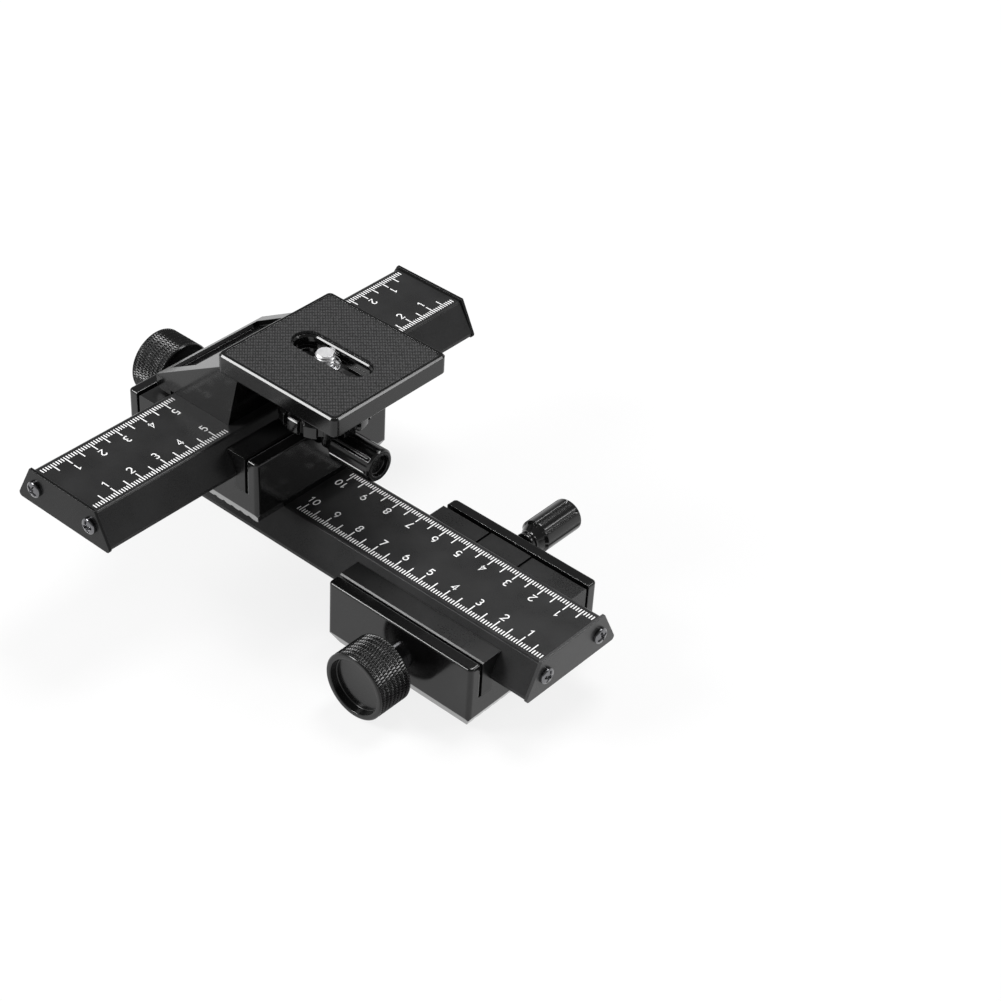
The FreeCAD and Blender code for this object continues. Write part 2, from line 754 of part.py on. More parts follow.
def make_focus_knob(stage):
    """The round focus knob: neck, cone, barrel and a recessed face."""
    name = f"{stage.name}_focus_knob"
    body = new_body(name)
    face = WALL + dim.knob_reach
    back = WALL + dim.knob_barrel_start
    seat = face - dim.knob_recess - dim.plate_thick
    edge = dim.knob_edge
    neck_start = WALL + dim.bush_flange + dim.knob_gap
    profile = polygon(new_sketch(body, f"{name}_section", "XZ_Plane"), [
        (dim.shaft_radius, neck_start), (dim.knob_neck_radius, neck_start),
        (dim.knob_neck_radius, WALL + dim.knob_neck_end), (dim.knob_back_radius, back),
        (dim.knob_radius - edge, back), (dim.knob_radius, back + edge),
        (dim.knob_radius, face - edge), (dim.knob_radius - edge, face),
        (dim.knob_recess_radius, face), (dim.knob_recess_radius, face - dim.knob_recess),
        (ZERO, face - dim.knob_recess), (ZERO, seat), (dim.shaft_radius, seat)])
    revolve(body, profile)
    place(body, stage, (ZERO, ZERO, FOCUS_HIGH), OUT_FRONT)
    return register(body, name)


def make_lock_knob(stage):
    """The fluted lock knob with its stepped neck and hollow end."""
    name = f"{stage.name}_lock_knob"
    body = new_body(name)
    face = WALL + dim.lock_reach
    edge = dim.lock_edge
    screw_end = face - dim.lock_recess - dim.plate_thick
    profile = polygon(new_sketch(body, f"{name}_section", "XZ_Plane"), [
        (dim.lock_screw_radius, WALL + dim.lock_neck_start),
        (dim.lock_neck_radius, WALL + dim.lock_neck_start),
        (dim.lock_neck_radius, WALL + dim.lock_neck_end),
        (dim.lock_radius - edge, WALL + dim.lock_body_start - edge),
        (dim.lock_radius, WALL + dim.lock_body_start), (dim.lock_radius, face - edge),
        (dim.lock_radius - edge, face), (dim.lock_recess_radius, face),
        (dim.lock_recess_radius, face - dim.lock_recess), (ZERO, face - dim.lock_recess),
        (ZERO, screw_end), (dim.lock_screw_radius, screw_end)])
    revolve(body, profile)
    flute_out = dim.lock_radius + dim.flute_radius - dim.flute_deep
    flute = circle(new_sketch(body, f"{name}_flute", "XY_Plane", face), (flute_out, ZERO),
                   dim.flute_radius)
    cut = pocket(body, flute, dim.lock_reach - dim.lock_neck_end)
    repeat_round(body, cut, dim.flute_count)
    place(body, stage, (dim.clamp_shift, ZERO, dim.lock_high), OUT_BACK)
    return register(body, name)


def make_lock_screw(stage):
    """The screw that the lock knob turns against the back of the clamp shoe."""
    name = f"{stage.name}_lock_screw"
    body = new_body(name)
    tip = GIB_OUTER + dim.clamp_back + dim.slide_gap
    end = WALL + dim.lock_reach - dim.lock_recess - dim.plate_thick
    rod = circle(new_sketch(body, f"{name}_rod", "XY_Plane", tip), (ZERO, ZERO),
                 dim.lock_screw_radius)
    pad(body, rod, end - tip)
    place(body, stage, (dim.clamp_shift, ZERO, dim.lock_high), OUT_BACK)
    return register(body, name)


def make_end_plate(stage, name, side):
    """The trapezoid plate on one end of a rail, on the side given by +1 or -1."""
    name = f"{stage.name}_{name}"
    body = new_body(name)
    top = dim.rail_high + dim.plate_above
    low = -dim.plate_below
    outline = polygon(new_sketch(body, f"{name}_outline", "YZ_Plane"), [
        (-dim.plate_foot_half, low), (dim.plate_foot_half, low), (dim.plate_top_half, top),
        (-dim.plate_top_half, top)])
    for across in (-dim.plate_screw_out, dim.plate_screw_out):
        circle(outline, (across, dim.plate_screw_high), dim.plate_screw_radius)
    pad(body, outline, dim.plate_thick, backwards=side < 0)
    dress(body, "Fillet", f"{name}_corners", lambda edge: is_level(edge, low)
          and near(edge.BoundBox.YLength, 0), Radius=dim.plate_round)
    rail_end = stage.rail_shift + side * dim.rail_long / 2
    place(body, stage, (rail_end, ZERO, RAIL_BOTTOM))
    return register(body, name)


def screw_shape(radius, long_way, head_radius, head_high, edge=0.0):
    """A screw turned about Z, its shank below the origin and its head, bevelled by edge, above."""
    rim = [(head_radius, head_high - edge), (head_radius - edge, head_high)] if edge else [
        (head_radius, head_high)]
    half_section = [(0, -long_way), (radius, -long_way), (radius, 0), (head_radius, 0)]
    half_section += rim + [(0, head_high), (0, -long_way)]
    wire = Part.makePolygon([Vector(x, 0, z) for x, z in half_section])
    return Part.Face(wire).revolve(Vector(0, 0, 0), Vector(0, 0, 1), 360)


def screws_feature(name, shape, spots, turns, stage, spot):
    """One node of identical screws, each turned and moved to its place in the stage."""
    feature = doc.addObject("Part::Feature", f"{name}_group")
    solids = []
    for location, turn in zip(spots, turns):
        copy = shape.copy()
        copy.Placement = Placement(Vector(*location), turn)
        solids.append(copy)
    feature.Shape = Part.makeCompound(solids)
    place(feature, stage, spot)
    return register(feature, name)


def make_plate_screws(stage):
    """Four pan-head screws, two in each end of the rail."""
    shape = screw_shape(
        dim.plate_screw_radius.value - dim.screw_room.value, dim.plate_screw_long.value,
        dim.plate_head_radius.value, dim.plate_head_high.value, dim.plate_head_edge.value)
    face = dim.rail_long.value / 2 + dim.plate_thick.value
    spots = []
    turns = []
    for side, turn in ((1, ALONG_X), (-1, ALONG_X.inverted())):
        for across in (-dim.plate_screw_out.value, dim.plate_screw_out.value):
            spots.append((side * face, across, dim.plate_screw_high.value))
            turns.append(turn)
    return screws_feature(f"{stage.name}_plate_screws", shape, spots, turns, stage,
                          (stage.rail_shift, ZERO, RAIL_BOTTOM))


def make_stage_screws():
    """Four cap screws from the upper carriage's floor into the lower rail."""
    seat = FLOOR - dim.stage_head_sunk - dim.stage_head_high
    shape = screw_shape(
        dim.stage_screw_radius.value, seat.value + dim.stage_screw_bite.value,
        dim.stage_head_radius.value, dim.stage_head_high.value)
    spots = [
        (along, across, 0.0)
        for along in (-dim.stage_screw_along.value, dim.stage_screw_along.value)
        for across in (-dim.stage_screw_across.value, dim.stage_screw_across.value)]
    return screws_feature("stage_screws", shape, spots, [NO_TURN] * len(spots), UPPER,
                          (ZERO, ZERO, seat))


def make_bracket_screws():
    """Four screws from the rail's underside up into the bracket."""
    upside_down = Rotation(Vector(1, 0, 0), 180)
    shape = screw_shape(
        dim.bracket_screw_radius.value,
        dim.rail_high.value - dim.bracket_head_deep.value + dim.bracket_screw_bite.value,
        dim.bracket_head_radius.value, dim.bracket_head_deep.value - dim.slide_gap.value)
    spots = [(along.value, across.value, 0.0) for along, across in bracket_screw_spots()]
    return screws_feature("bracket_screws", shape, spots, [upside_down] * len(spots), UPPER,
                          (ZERO, ZERO, RAIL_BOTTOM + dim.bracket_head_deep))


def make_tripod_bush():
    name = "tripod_bush"
    body = new_body(name)
    ring = new_sketch(body, f"{name}_ring", "XY_Plane")
    circle(ring, (ZERO, ZERO), dim.bush_outer_radius)
    circle(ring, (ZERO, ZERO), dim.bush_thread_radius)
    pad(body, ring, dim.tripod_bush_long)
    place(body, LOWER, (ZERO, ZERO, ZERO))
    return register(body, name)


def bracket_spot(height=ZERO):
    """A point on the upper rail's axis, height above the rail's top."""
    return (STAGE_OUT, ZERO, RAIL_TOP + RAIL_TOP + height)


def make_bracket():
    """The camera bracket: wedge, wall and platform in one casting."""
    name = "camera_bracket"
    body = new_body(name)
    half = dim.platform_wide / 2
    plate = rectangle(new_sketch(body, f"{name}_platform", "XY_Plane", PLATFORM_UNDER),
                      dim.platform_start, dim.platform_start + dim.platform_long, -half, half)
    pad(body, plate, dim.platform_thick)
    dress(body, "Fillet", f"{name}_corners", is_upright, Radius=dim.platform_round)
    dress(body, "Fillet", f"{name}_under_edge", lambda edge: is_level(edge, PLATFORM_UNDER),
          Radius=dim.platform_under_round)
    dress(body, "Chamfer", f"{name}_rim", lambda edge: is_level(edge, dim.platform_high),
          Size=dim.platform_edge)
    slope_top = PLATFORM_UNDER + dim.platform_edge
    wedge = polygon(new_sketch(body, f"{name}_wedge", "XZ_Plane"), [
        (-dim.wedge_foot_out, ZERO), (dim.wall_foot_out, ZERO),
        (dim.wall_top_out, PLATFORM_UNDER), (dim.wall_top_out, slope_top),
        (dim.platform_start, slope_top), (-dim.wedge_lip_out, dim.wedge_lip_high),
        (-dim.wedge_lip_out, -dim.wedge_foot_drop), (-dim.wedge_foot_out, -dim.wedge_foot_drop)])
    pad(body, wedge, (half - dim.wedge_inset) * 2, both_ways=True)
    for item, height, radius in (("lip", -dim.wedge_foot_drop, dim.wedge_lip_round),
                                 ("brow", dim.wedge_lip_high, dim.wedge_brow_round)):
        dress(body, "Fillet", f"{name}_{item}", lambda edge: is_level(edge, height)
              and near(edge.BoundBox.XMax, -dim.wedge_lip_out.value), Radius=radius)
    wall_top = dim.wall_top_out.value
    dress(body, "Fillet", f"{name}_wall", lambda edge: is_level(edge, PLATFORM_UNDER)
          and near(edge.BoundBox.XMax, wall_top) and near(edge.BoundBox.XLength, 0),
          Radius=dim.wall_fillet)
    seat = rectangle(
        new_sketch(body, f"{name}_pad_seat", "XY_Plane", dim.platform_high),
        dim.platform_start + dim.pad_inset,
        dim.platform_start + dim.platform_long - dim.pad_inset,
        -half + dim.pad_inset, half - dim.pad_inset)
    pocket(body, seat, dim.pad_seat)
    seat_floor = dim.platform_high - dim.pad_seat
    pad_corner = half - dim.pad_inset
    dress(body, "Fillet", f"{name}_seat_corners", lambda edge: is_upright(edge)
          and near(abs(edge.BoundBox.YMax), pad_corner.value)
          and near(edge.BoundBox.ZMin, seat_floor.value), Radius=dim.pad_round)
    wide_slot = slot(new_sketch(body, f"{name}_slot", "XY_Plane", dim.platform_high),
                     PLATFORM_MIDDLE, dim.slot_long, dim.slot_wide)
    pocket(body, wide_slot, dim.slot_step)
    throat = slot(new_sketch(body, f"{name}_throat", "XY_Plane", dim.platform_high),
                  PLATFORM_MIDDLE, dim.slot_throat_long, dim.slot_throat_wide)
    pocket(body, throat, dim.platform_thick)
    add_panel(body, name)
    add_bracket_tapped_holes(body, name)
    place_in_world(body, bracket_spot())
    return register(body, name)


def add_panel(body, name):
    """The recess along the wedge's lip, with a ramp from its floor up to the slope."""
    slope_top = PLATFORM_UNDER + dim.platform_edge
    rise = (slope_top - dim.wedge_lip_high) / (dim.platform_start + dim.wedge_lip_out)

    def on_slope(out, above):
        return (out, dim.wedge_lip_high + rise * (out + dim.wedge_lip_out) + above)

    low_out = -dim.wedge_lip_out + dim.panel_margin
    panel = polygon(new_sketch(body, f"{name}_panel", "XZ_Plane"), [
        on_slope(low_out, -dim.panel_deep),
        on_slope(-dim.panel_high_out - dim.panel_ramp, -dim.panel_deep),
        on_slope(-dim.panel_high_out, ZERO), on_slope(-dim.panel_high_out, dim.platform_edge),
        on_slope(low_out, dim.platform_edge)])
    wide = dim.platform_wide - (dim.wedge_inset + dim.panel_side) * 2
    pocket(body, panel, wide, both_ways=True)


def add_bracket_tapped_holes(body, name):
    """Blind holes for the bracket screws, in the foot on the rail."""
    holes = new_sketch(body, f"{name}_tapped", "XY_Plane")
    for along, across in bracket_screw_spots():
        circle(holes, (across, along), dim.bracket_screw_radius)
    pocket(body, holes, dim.bracket_screw_bite + dim.screw_room, backwards=True)


def make_camera_pad():
    """The rubber pad in the platform's seat, open over the slot."""
    name = "camera_pad"
    body = new_body(name)
    half = dim.platform_wide / 2 - dim.pad_inset
    sheet_outline = rectangle(
        new_sketch(body, f"{name}_outline", "XY_Plane"), dim.platform_start + dim.pad_inset,
        dim.platform_start + dim.platform_long - dim.pad_inset, -half, half)
    pad(body, sheet_outline, dim.pad_thick)
    dress(body, "Fillet", f"{name}_corners", is_upright, Radius=dim.pad_round)
    opening = slot(new_sketch(body, f"{name}_opening", "XY_Plane"), PLATFORM_MIDDLE,
                   dim.slot_long, dim.slot_wide)
    pocket(body, opening, dim.pad_thick, backwards=True)
    place_in_world(body, bracket_spot(dim.platform_high - dim.pad_seat))
    return register(body, name)


def stud_spot(height=ZERO):
    """A point on the camera screw's axis, height above the upper rail's top."""
    return (STAGE_OUT + PLATFORM_MIDDLE + dim.stud_shift, ZERO, RAIL_TOP + RAIL_TOP + height)


def make_ring(name, inner, outer, thick, height):
    """A flat ring about the camera screw, at a height above the rail's top."""
    body = new_body(name)
    ring = new_sketch(body, f"{name}_ring", "XY_Plane")
    circle(ring, (ZERO, ZERO), outer)
    circle(ring, (ZERO, ZERO), inner)
    pad(body, ring, thick)
    place_in_world(body, stud_spot(height))
    return register(body, name)


def make_camera_screw():
    """The captive camera screw: slim shank, groove of its clip and threaded end."""
    name = "camera_screw"
    body = new_body(name)
    clip_low = LEDGE + dim.washer_thick + dim.ring_gap
    clip_high = clip_low + dim.clip_thick
    neck = dim.shank_radius - dim.clip_groove
    edge = dim.stud_edge
    profile = polygon(new_sketch(body, f"{name}_section", "XZ_Plane"), [
        (ZERO, dim.wheel_top - dim.wheel_thick / 2),
        (dim.shank_radius, dim.wheel_top - dim.wheel_thick / 2),
        (dim.shank_radius, clip_low), (neck, clip_low), (neck, clip_high),
        (dim.stud_radius, clip_high), (dim.stud_radius, STUD_TOP - edge),
        (dim.stud_radius - edge, STUD_TOP), (ZERO, STUD_TOP)])
    revolve(body, profile)
    place_in_world(body, stud_spot())
    return register(body, name)


def make_thumbwheel():
    """The notched wheel under the platform, with the hub that bears on the underside."""
    name = "camera_thumbwheel"
    body = new_body(name)
    low = dim.wheel_top - dim.wheel_thick
    middle = dim.wheel_top - dim.wheel_thick / 2
    edge = dim.wheel_edge
    profile = polygon(new_sketch(body, f"{name}_section", "XZ_Plane"), [
        (ZERO, low), (dim.wheel_radius - edge, low), (dim.wheel_radius, low + edge),
        (dim.wheel_radius, dim.wheel_top - edge), (dim.wheel_radius - edge, dim.wheel_top),
        (dim.hub_radius, dim.wheel_top), (dim.hub_radius, HUB_TOP),
        (dim.shank_radius, HUB_TOP), (dim.shank_radius, middle), (ZERO, middle)])
    revolve(body, profile)
    notch = rectangle(
        new_sketch(body, f"{name}_notch", "XY_Plane", dim.wheel_top + edge),
        dim.wheel_radius - dim.notch_deep, dim.wheel_radius + edge, -dim.notch_wide / 2,
        dim.notch_wide / 2)
    cut = pocket(body, notch, dim.wheel_thick + edge * 2)
    repeat_round(body, cut, dim.notch_count)
    place_in_world(body, stud_spot())
    return register(body, name)


def make_stage(stage):
    make_carriage(stage)
    make_gibs(stage)
    make_bush(stage)
    make_drive_shaft(stage)
    make_focus_knob(stage)
    make_lock_knob(stage)
    make_lock_screw(stage)
    make_rail(stage)
    make_rack(stage)
    make_end_plate(stage, "plate_near", 1)
    make_end_plate(stage, "plate_far", -1)
    make_plate_screws(stage)


def check_and_write():
    """Refuse a failed or empty object, then write one STEP file for each sub-part."""
    doc.recompute()
    for item in doc.Objects:
        if "Invalid" in item.State or "Error" in item.State:
            raise RuntimeError(f"{item.Label} failed to recompute")
    os.makedirs("parts", exist_ok=True)
    for item in subparts:
        if item.Shape.isNull() or not item.Shape.isValid():
            raise RuntimeError(f"{item.Label} has no valid shape")
        item.Shape.exportStep(os.path.join("parts", f"{item.Label}.step"))


make_stage(LOWER)
make_stage(UPPER)
make_stage_screws()
make_tripod_bush()
make_bracket()
make_bracket_screws()
make_camera_pad()
make_ring("camera_washer", dim.shank_radius + dim.ring_gap, dim.washer_radius,
          dim.washer_thick, LEDGE)
make_ring("camera_clip", dim.shank_radius - dim.clip_groove, dim.clip_radius,
          dim.clip_thick, LEDGE + dim.washer_thick + dim.ring_gap)
make_camera_screw()
make_thumbwheel()
check_and_write()
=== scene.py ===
"""A two-axis macro focusing rail in black metal: its finishes, its finer pieces, its studio."""
import math

import bmesh
import bpy
import numpy as np
from mathutils import Matrix, Vector


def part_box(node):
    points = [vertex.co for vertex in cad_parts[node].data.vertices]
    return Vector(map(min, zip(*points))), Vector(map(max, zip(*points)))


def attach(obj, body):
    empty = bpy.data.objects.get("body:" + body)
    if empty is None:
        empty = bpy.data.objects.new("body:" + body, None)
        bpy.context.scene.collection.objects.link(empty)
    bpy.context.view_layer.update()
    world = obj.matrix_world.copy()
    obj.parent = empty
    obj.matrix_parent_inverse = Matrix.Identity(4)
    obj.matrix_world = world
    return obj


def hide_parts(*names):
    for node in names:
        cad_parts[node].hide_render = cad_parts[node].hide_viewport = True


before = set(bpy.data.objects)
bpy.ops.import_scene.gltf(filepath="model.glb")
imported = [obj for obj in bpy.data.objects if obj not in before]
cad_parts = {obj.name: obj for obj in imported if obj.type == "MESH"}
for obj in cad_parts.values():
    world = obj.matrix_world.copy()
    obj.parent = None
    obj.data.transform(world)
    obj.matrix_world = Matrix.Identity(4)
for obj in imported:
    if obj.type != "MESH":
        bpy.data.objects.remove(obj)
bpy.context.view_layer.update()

MM = 0.001
FULL_TURN = 2 * math.pi
QUARTER_TURN = math.pi / 2
X_AXIS, Y_AXIS, Z_AXIS = np.eye(3)


# Places that the pieces share, in millimetres.

def box_of(node):
    """The low and the high corner of a CAD node's box."""
    return [np.array(corner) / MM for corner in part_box(node)]


LOWER_RAIL_TOP = box_of("lower_rail")[1][2]
UPPER_RAIL_TOP = box_of("upper_rail")[1][2]
UPPER_RAIL_X = sum(box_of("upper_rail"))[0] / 2
STUD_X = sum(box_of("camera_screw"))[0] / 2
PAD_LOW, PAD_HIGH = box_of("camera_pad")
PAD_MIDDLE = (PAD_LOW + PAD_HIGH) / 2
WALL = 29.2
FOCUS_HIGH = 12.42
LOCK_HIGH = 21.2
CLAMP_SHIFT = -1.0


# Shapes.

SMOOTH_ANGLE = math.radians(32)
NEARLY_STRAIGHT = math.radians(89)
MERGE = 1e-7
TINY = 1e-6
ARC_POINTS = 5
ARC_REACH = 0.48


def rounded(corners, radius):
    """An open run of corners with each inner one turned into an arc.

    The arc's centre lies on the corner's bisector, radius / sin(half angle) from it, and the
    points go evenly from one touching point to the other at the radius from the centre. An
    arc takes less than half of either run beside it.
    """
    corners = np.asarray(corners, float)
    pieces = [corners[:1]]
    for before, corner, after in zip(corners, corners[1:], corners[2:]):
        one, other = before - corner, after - corner
        reach = min(np.linalg.norm(one), np.linalg.norm(other)) * ARC_REACH
        one, other = one / np.linalg.norm(one), other / np.linalg.norm(other)
        half = math.acos(np.clip(one @ other, -1, 1)) / 2
        if half > NEARLY_STRAIGHT:
            pieces.append(corner[None])
            continue
        bend = min(radius, reach * math.tan(half))
        centre = corner + (one + other) / np.linalg.norm(one + other) * bend / math.sin(half)
        first = corner + one * bend / math.tan(half) - centre
        last = corner + other * bend / math.tan(half) - centre
        share = np.linspace(0, 1, ARC_POINTS)[:, None]
        arc = first * (1 - share) + last * share
        pieces.append(centre + arc / np.linalg.norm(arc, axis=1)[:, None] * bend)
    pieces.append(corners[-1:])
    return np.concatenate(pieces)


def refined(profile, low, high, step):
    """A profile with points every step between two heights, where it runs straight."""
    rows = []
    for start, end in zip(profile, profile[1:]):
        inside = min(start[1], end[1]) >= low and max(start[1], end[1]) <= high
        count = max(1, round(abs(end[1] - start[1]) / step)) if inside else 1
        share = np.arange(count)[:, None] / count
        rows.append(start * (1 - share) + end * share)
    rows.append(profile[-1:])
    return np.concatenate(rows)


def round_angles(count):
    """Evenly spaced angles round a full turn."""
    return np.arange(count) / count * FULL_TURN


def turned(profile, angles, shape):
    """Points of a turned surface: (radius cos a, radius sin a, height) for every profile
    point and angle, with the radius and height passed through shape(radius, height, a)."""
    radius, angle = np.meshgrid(profile[:, 0], angles, indexing="ij")
    height = np.repeat(profile[:, 1][:, None], len(angles), axis=1)
    radius, height = shape(radius, height, angle)
    return np.stack([radius * np.cos(angle), radius * np.sin(angle), height], -1)


def stand(points, origin, outward, across):
    """Points moved so that their Z runs outward and their X across, from an origin."""
    third = np.cross(outward, across)
    return np.asarray(origin) + points @ np.stack([across, third, outward])


def ramp(value, low, high):
    """0 below low, 1 above high and a smooth S between."""
    share = np.clip((value - low) / (high - low), 0, 1)
    return share * share * (3 - 2 * share)


def zigzag(value):
    """A wave of straight flanks: 0 at whole numbers, 1 halfway between them."""
    return 1 - np.abs(2 * (value - np.floor(value)) - 1)


def from_nearest(angle, period):
    """How far an angle lies from the nearest whole number of periods."""
    return np.abs((angle + period / 2) % period - period / 2)


def net(rows, columns, offset=0):
    """Four-sided faces over a grid of points whose columns close round."""
    index = np.arange(rows * columns).reshape(rows, columns) + offset
    here, there = index, np.roll(index, -1, axis=1)
    return np.stack([here[:-1], there[:-1], there[1:], here[1:]], -1).reshape(-1, 4)


def mesh_piece(name, points, faces, material, body, node=None):
    """A piece from points in millimetres and faces, closed, smooth and riding on its body."""
    mesh = bpy.data.meshes.new(name)
    mesh.from_pydata((np.asarray(points) * MM).tolist(), [], np.asarray(faces).tolist())
    work = bmesh.new()
    work.from_mesh(mesh)
    bmesh.ops.remove_doubles(work, verts=work.verts, dist=MERGE)
    bmesh.ops.recalc_face_normals(work, faces=work.faces)
    work.to_mesh(mesh)
    work.free()
    mesh.polygons.foreach_set("use_smooth", np.ones(len(mesh.polygons), bool))
    mesh.set_sharp_from_angle(angle=SMOOTH_ANGLE)
    mesh.materials.append(material)
    piece = bpy.data.objects.new(name, mesh)
    bpy.context.scene.collection.objects.link(piece)
    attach(piece, body)
    if node:
        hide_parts(node)


def grid_piece(name, grid, material, body, node=None):
    """A piece from a grid of points: rows of rings that each close round."""
    mesh_piece(name, grid.reshape(-1, 3), net(*grid.shape[:2]), material, body, node)


# Finishes.

class Graph:
    """Short words for laying out one node tree."""

    def __init__(self, tree):
        self.tree = tree

    def feed(self, item, socket, value):
        target = item.inputs[socket]
        if isinstance(value, bpy.types.NodeSocket):
            self.tree.links.new(value, target)
        else:
            target.default_value = value

    def node(self, kind, inputs=None, **settings):
        item = self.tree.nodes.new(f"ShaderNode{kind}")
        for key, value in settings.items():
            setattr(item, key, value)
        for socket, value in (inputs or {}).items():
            self.feed(item, socket, value)
        return item

    def math(self, operation, *values, clamp=False):
        inputs = dict(enumerate(values))
        return self.node("Math", inputs, operation=operation, use_clamp=clamp).outputs[0]

    def blend(self, share, one, other):
        inputs = {"Factor": share, "A": one, "B": other}
        return self.node("Mix", inputs, data_type="RGBA").outputs["Result"]

    def spread(self, value, low, high, first, last):
        inputs = {"Value": value, "From Min": low, "From Max": high, "To Min": first,
                  "To Max": last}
        return self.node("MapRange", inputs).outputs["Result"]

    def use_group(self, group, values):
        item = self.node("Group")
        item.node_tree = group
        for socket, value in values.items():
            self.feed(item, socket, value)
        return item


BEVEL_SAMPLES = 12
FINE_DETAIL, SLOW_DETAIL, FINE_ROUGHNESS = 2.0, 3.0, 0.6
FINE_SHARE = 0.55


def new_group(name, inputs, outputs):
    """An empty shader group with named inputs and outputs, each with its socket kind."""
    tree = bpy.data.node_groups.new(name, "ShaderNodeTree")
    for label, value in inputs.items():
        socket = tree.interface.new_socket(label, in_out="INPUT", socket_type="NodeSocketFloat")
        socket.default_value = value
    for label, kind in outputs.items():
        tree.interface.new_socket(label, in_out="OUTPUT", socket_type=f"NodeSocket{kind}")
    return Graph(tree), tree.nodes.new("NodeGroupInput"), tree.nodes.new("NodeGroupOutput")


def edge_group():
    """Rounded edges: a normal that bends over every edge, and a mask along it, the gain
    times one minus the cosine between the bent and the plain normal. The mask is where the
    finishes lay their lighter edge colour, partly wear and partly a painted highlight."""
    graph, source, result = new_group(
        "rounded_edges", {"Radius": 0.0003, "Gain": 4.0}, {"Normal": "Vector", "Edge": "Float"})
    bevel = graph.node("Bevel", {"Radius": source.outputs["Radius"]}, samples=BEVEL_SAMPLES)
    plain = graph.node("NewGeometry")
    dot = graph.node("VectorMath", {0: bevel.outputs[0], 1: plain.outputs["Normal"]},
                     operation="DOT_PRODUCT")
    bent = graph.math("SUBTRACT", 1.0, dot.outputs["Value"])
    edge = graph.math("MULTIPLY", bent, source.outputs["Gain"], clamp=True)
    graph.feed(result, "Normal", bevel.outputs[0])
    graph.feed(result, "Edge", edge)
    return graph.tree


def grain_group():
    """Fine tooth of a blasted or anodised skin, with slow patches of tone over it."""
    graph, source, result = new_group(
        "metal_grain", {"Scale": 3000.0, "Patch Scale": 60.0},
        {"Tone": "Float", "Height": "Float"})
    where = graph.node("TexCoord").outputs["Object"]
    fine = graph.node("TexNoise", {"Vector": where, "Scale": source.outputs["Scale"],
                                   "Detail": FINE_DETAIL, "Roughness": FINE_ROUGHNESS})
    slow = graph.node("TexNoise", {"Vector": where, "Scale": source.outputs["Patch Scale"],
                                   "Detail": SLOW_DETAIL})
    tone = graph.math("ADD", graph.math("MULTIPLY", fine.outputs["Fac"], FINE_SHARE),
                      graph.math("MULTIPLY", slow.outputs["Fac"], 1 - FINE_SHARE))
    graph.feed(result, "Tone", tone)
    graph.feed(result, "Height", fine.outputs["Fac"])
    return graph.tree


EDGES = edge_group()
GRAIN = grain_group()
EDGE_GAIN = 5.0
METAL_PATCHES = 70.0
TONE_LOW, TONE_HIGH = 0.35, 0.65
GLOSS_SPREAD = 0.12
TOOTH_STRENGTH = 0.6
BLUE_CAST = 1.02


def grey(value):
    """A neutral tone with a trace of blue."""
    return (value, value, value * BLUE_CAST)


def new_material(name):
    material = bpy.data.materials.new(name)
    material.use_nodes = True
    graph = Graph(material.node_tree)
    shader = next(item for item in material.node_tree.nodes if item.type == "BSDF_PRINCIPLED")
    return material, graph, shader


def metal_finish(name, dark, light, edge_sheen_and_wear, rough, edge, grain, tooth, edge_sheen_and_wear_share=0.5, metallic=0.0,
                 specular=0.5):
    """A metal or moulded skin: grain between two tones, lighter edges that are partly wear and
    partly a painted highlight, uneven gloss. The edge's radius and the grain's tooth are in
    millimetres."""
    material, graph, shader = new_material(name)
    edges = graph.use_group(EDGES, {"Radius": edge * MM, "Gain": EDGE_GAIN})
    skin = graph.use_group(GRAIN, {"Scale": grain, "Patch Scale": METAL_PATCHES})
    tone = graph.spread(skin.outputs["Tone"], TONE_LOW, TONE_HIGH, 0.0, 1.0)
    plain = graph.blend(tone, (*dark, 1), (*light, 1))
    # Lighter colour along every edge: partly wear, partly a painted highlight.
    share = graph.math("MULTIPLY", edges.outputs["Edge"], edge_sheen_and_wear_share)
    graph.feed(shader, "Base Color", graph.blend(share, plain, (*edge_sheen_and_wear, 1)))
    graph.feed(shader, "Roughness", graph.spread(
        tone, 0.0, 1.0, rough * (1 - GLOSS_SPREAD), rough * (1 + GLOSS_SPREAD)))
    bump = graph.node("Bump", {"Height": skin.outputs["Height"], "Distance": tooth * MM,
                               "Strength": TOOTH_STRENGTH, "Normal": edges.outputs["Normal"]})
    graph.feed(shader, "Normal", bump.outputs[0])
    shader.inputs["Metallic"].default_value = metallic
    shader.inputs["Specular IOR Level"].default_value = specular
    return material


# Each finish's edge colour is partly wear and partly a painted highlight on its edges.
CASTING = metal_finish(
    "gloss_black_casting", dark=grey(0.002), light=grey(0.005), edge_sheen_and_wear=grey(0.09), rough=0.15,
    edge=0.2, grain=2600, tooth=0.003, edge_sheen_and_wear_share=0.8, specular=0.44)
CARRIAGE = metal_finish(
    "gloss_black_carriage", dark=grey(0.002), light=grey(0.005), edge_sheen_and_wear=grey(0.12), rough=0.14,
    edge=0.45, grain=2600, tooth=0.003, edge_sheen_and_wear_share=0.9, specular=0.44)
ANODISED = metal_finish(
    "black_anodised_rail", dark=grey(0.01), light=grey(0.024), edge_sheen_and_wear=grey(0.05), rough=0.3,
    edge=0.25, grain=5200, tooth=0.007, specular=0.22)
PLATE = metal_finish(
    "black_end_plate", dark=grey(0.003), light=grey(0.008), edge_sheen_and_wear=grey(0.06), rough=0.24,
    edge=0.35, grain=3600, tooth=0.006, specular=0.16)
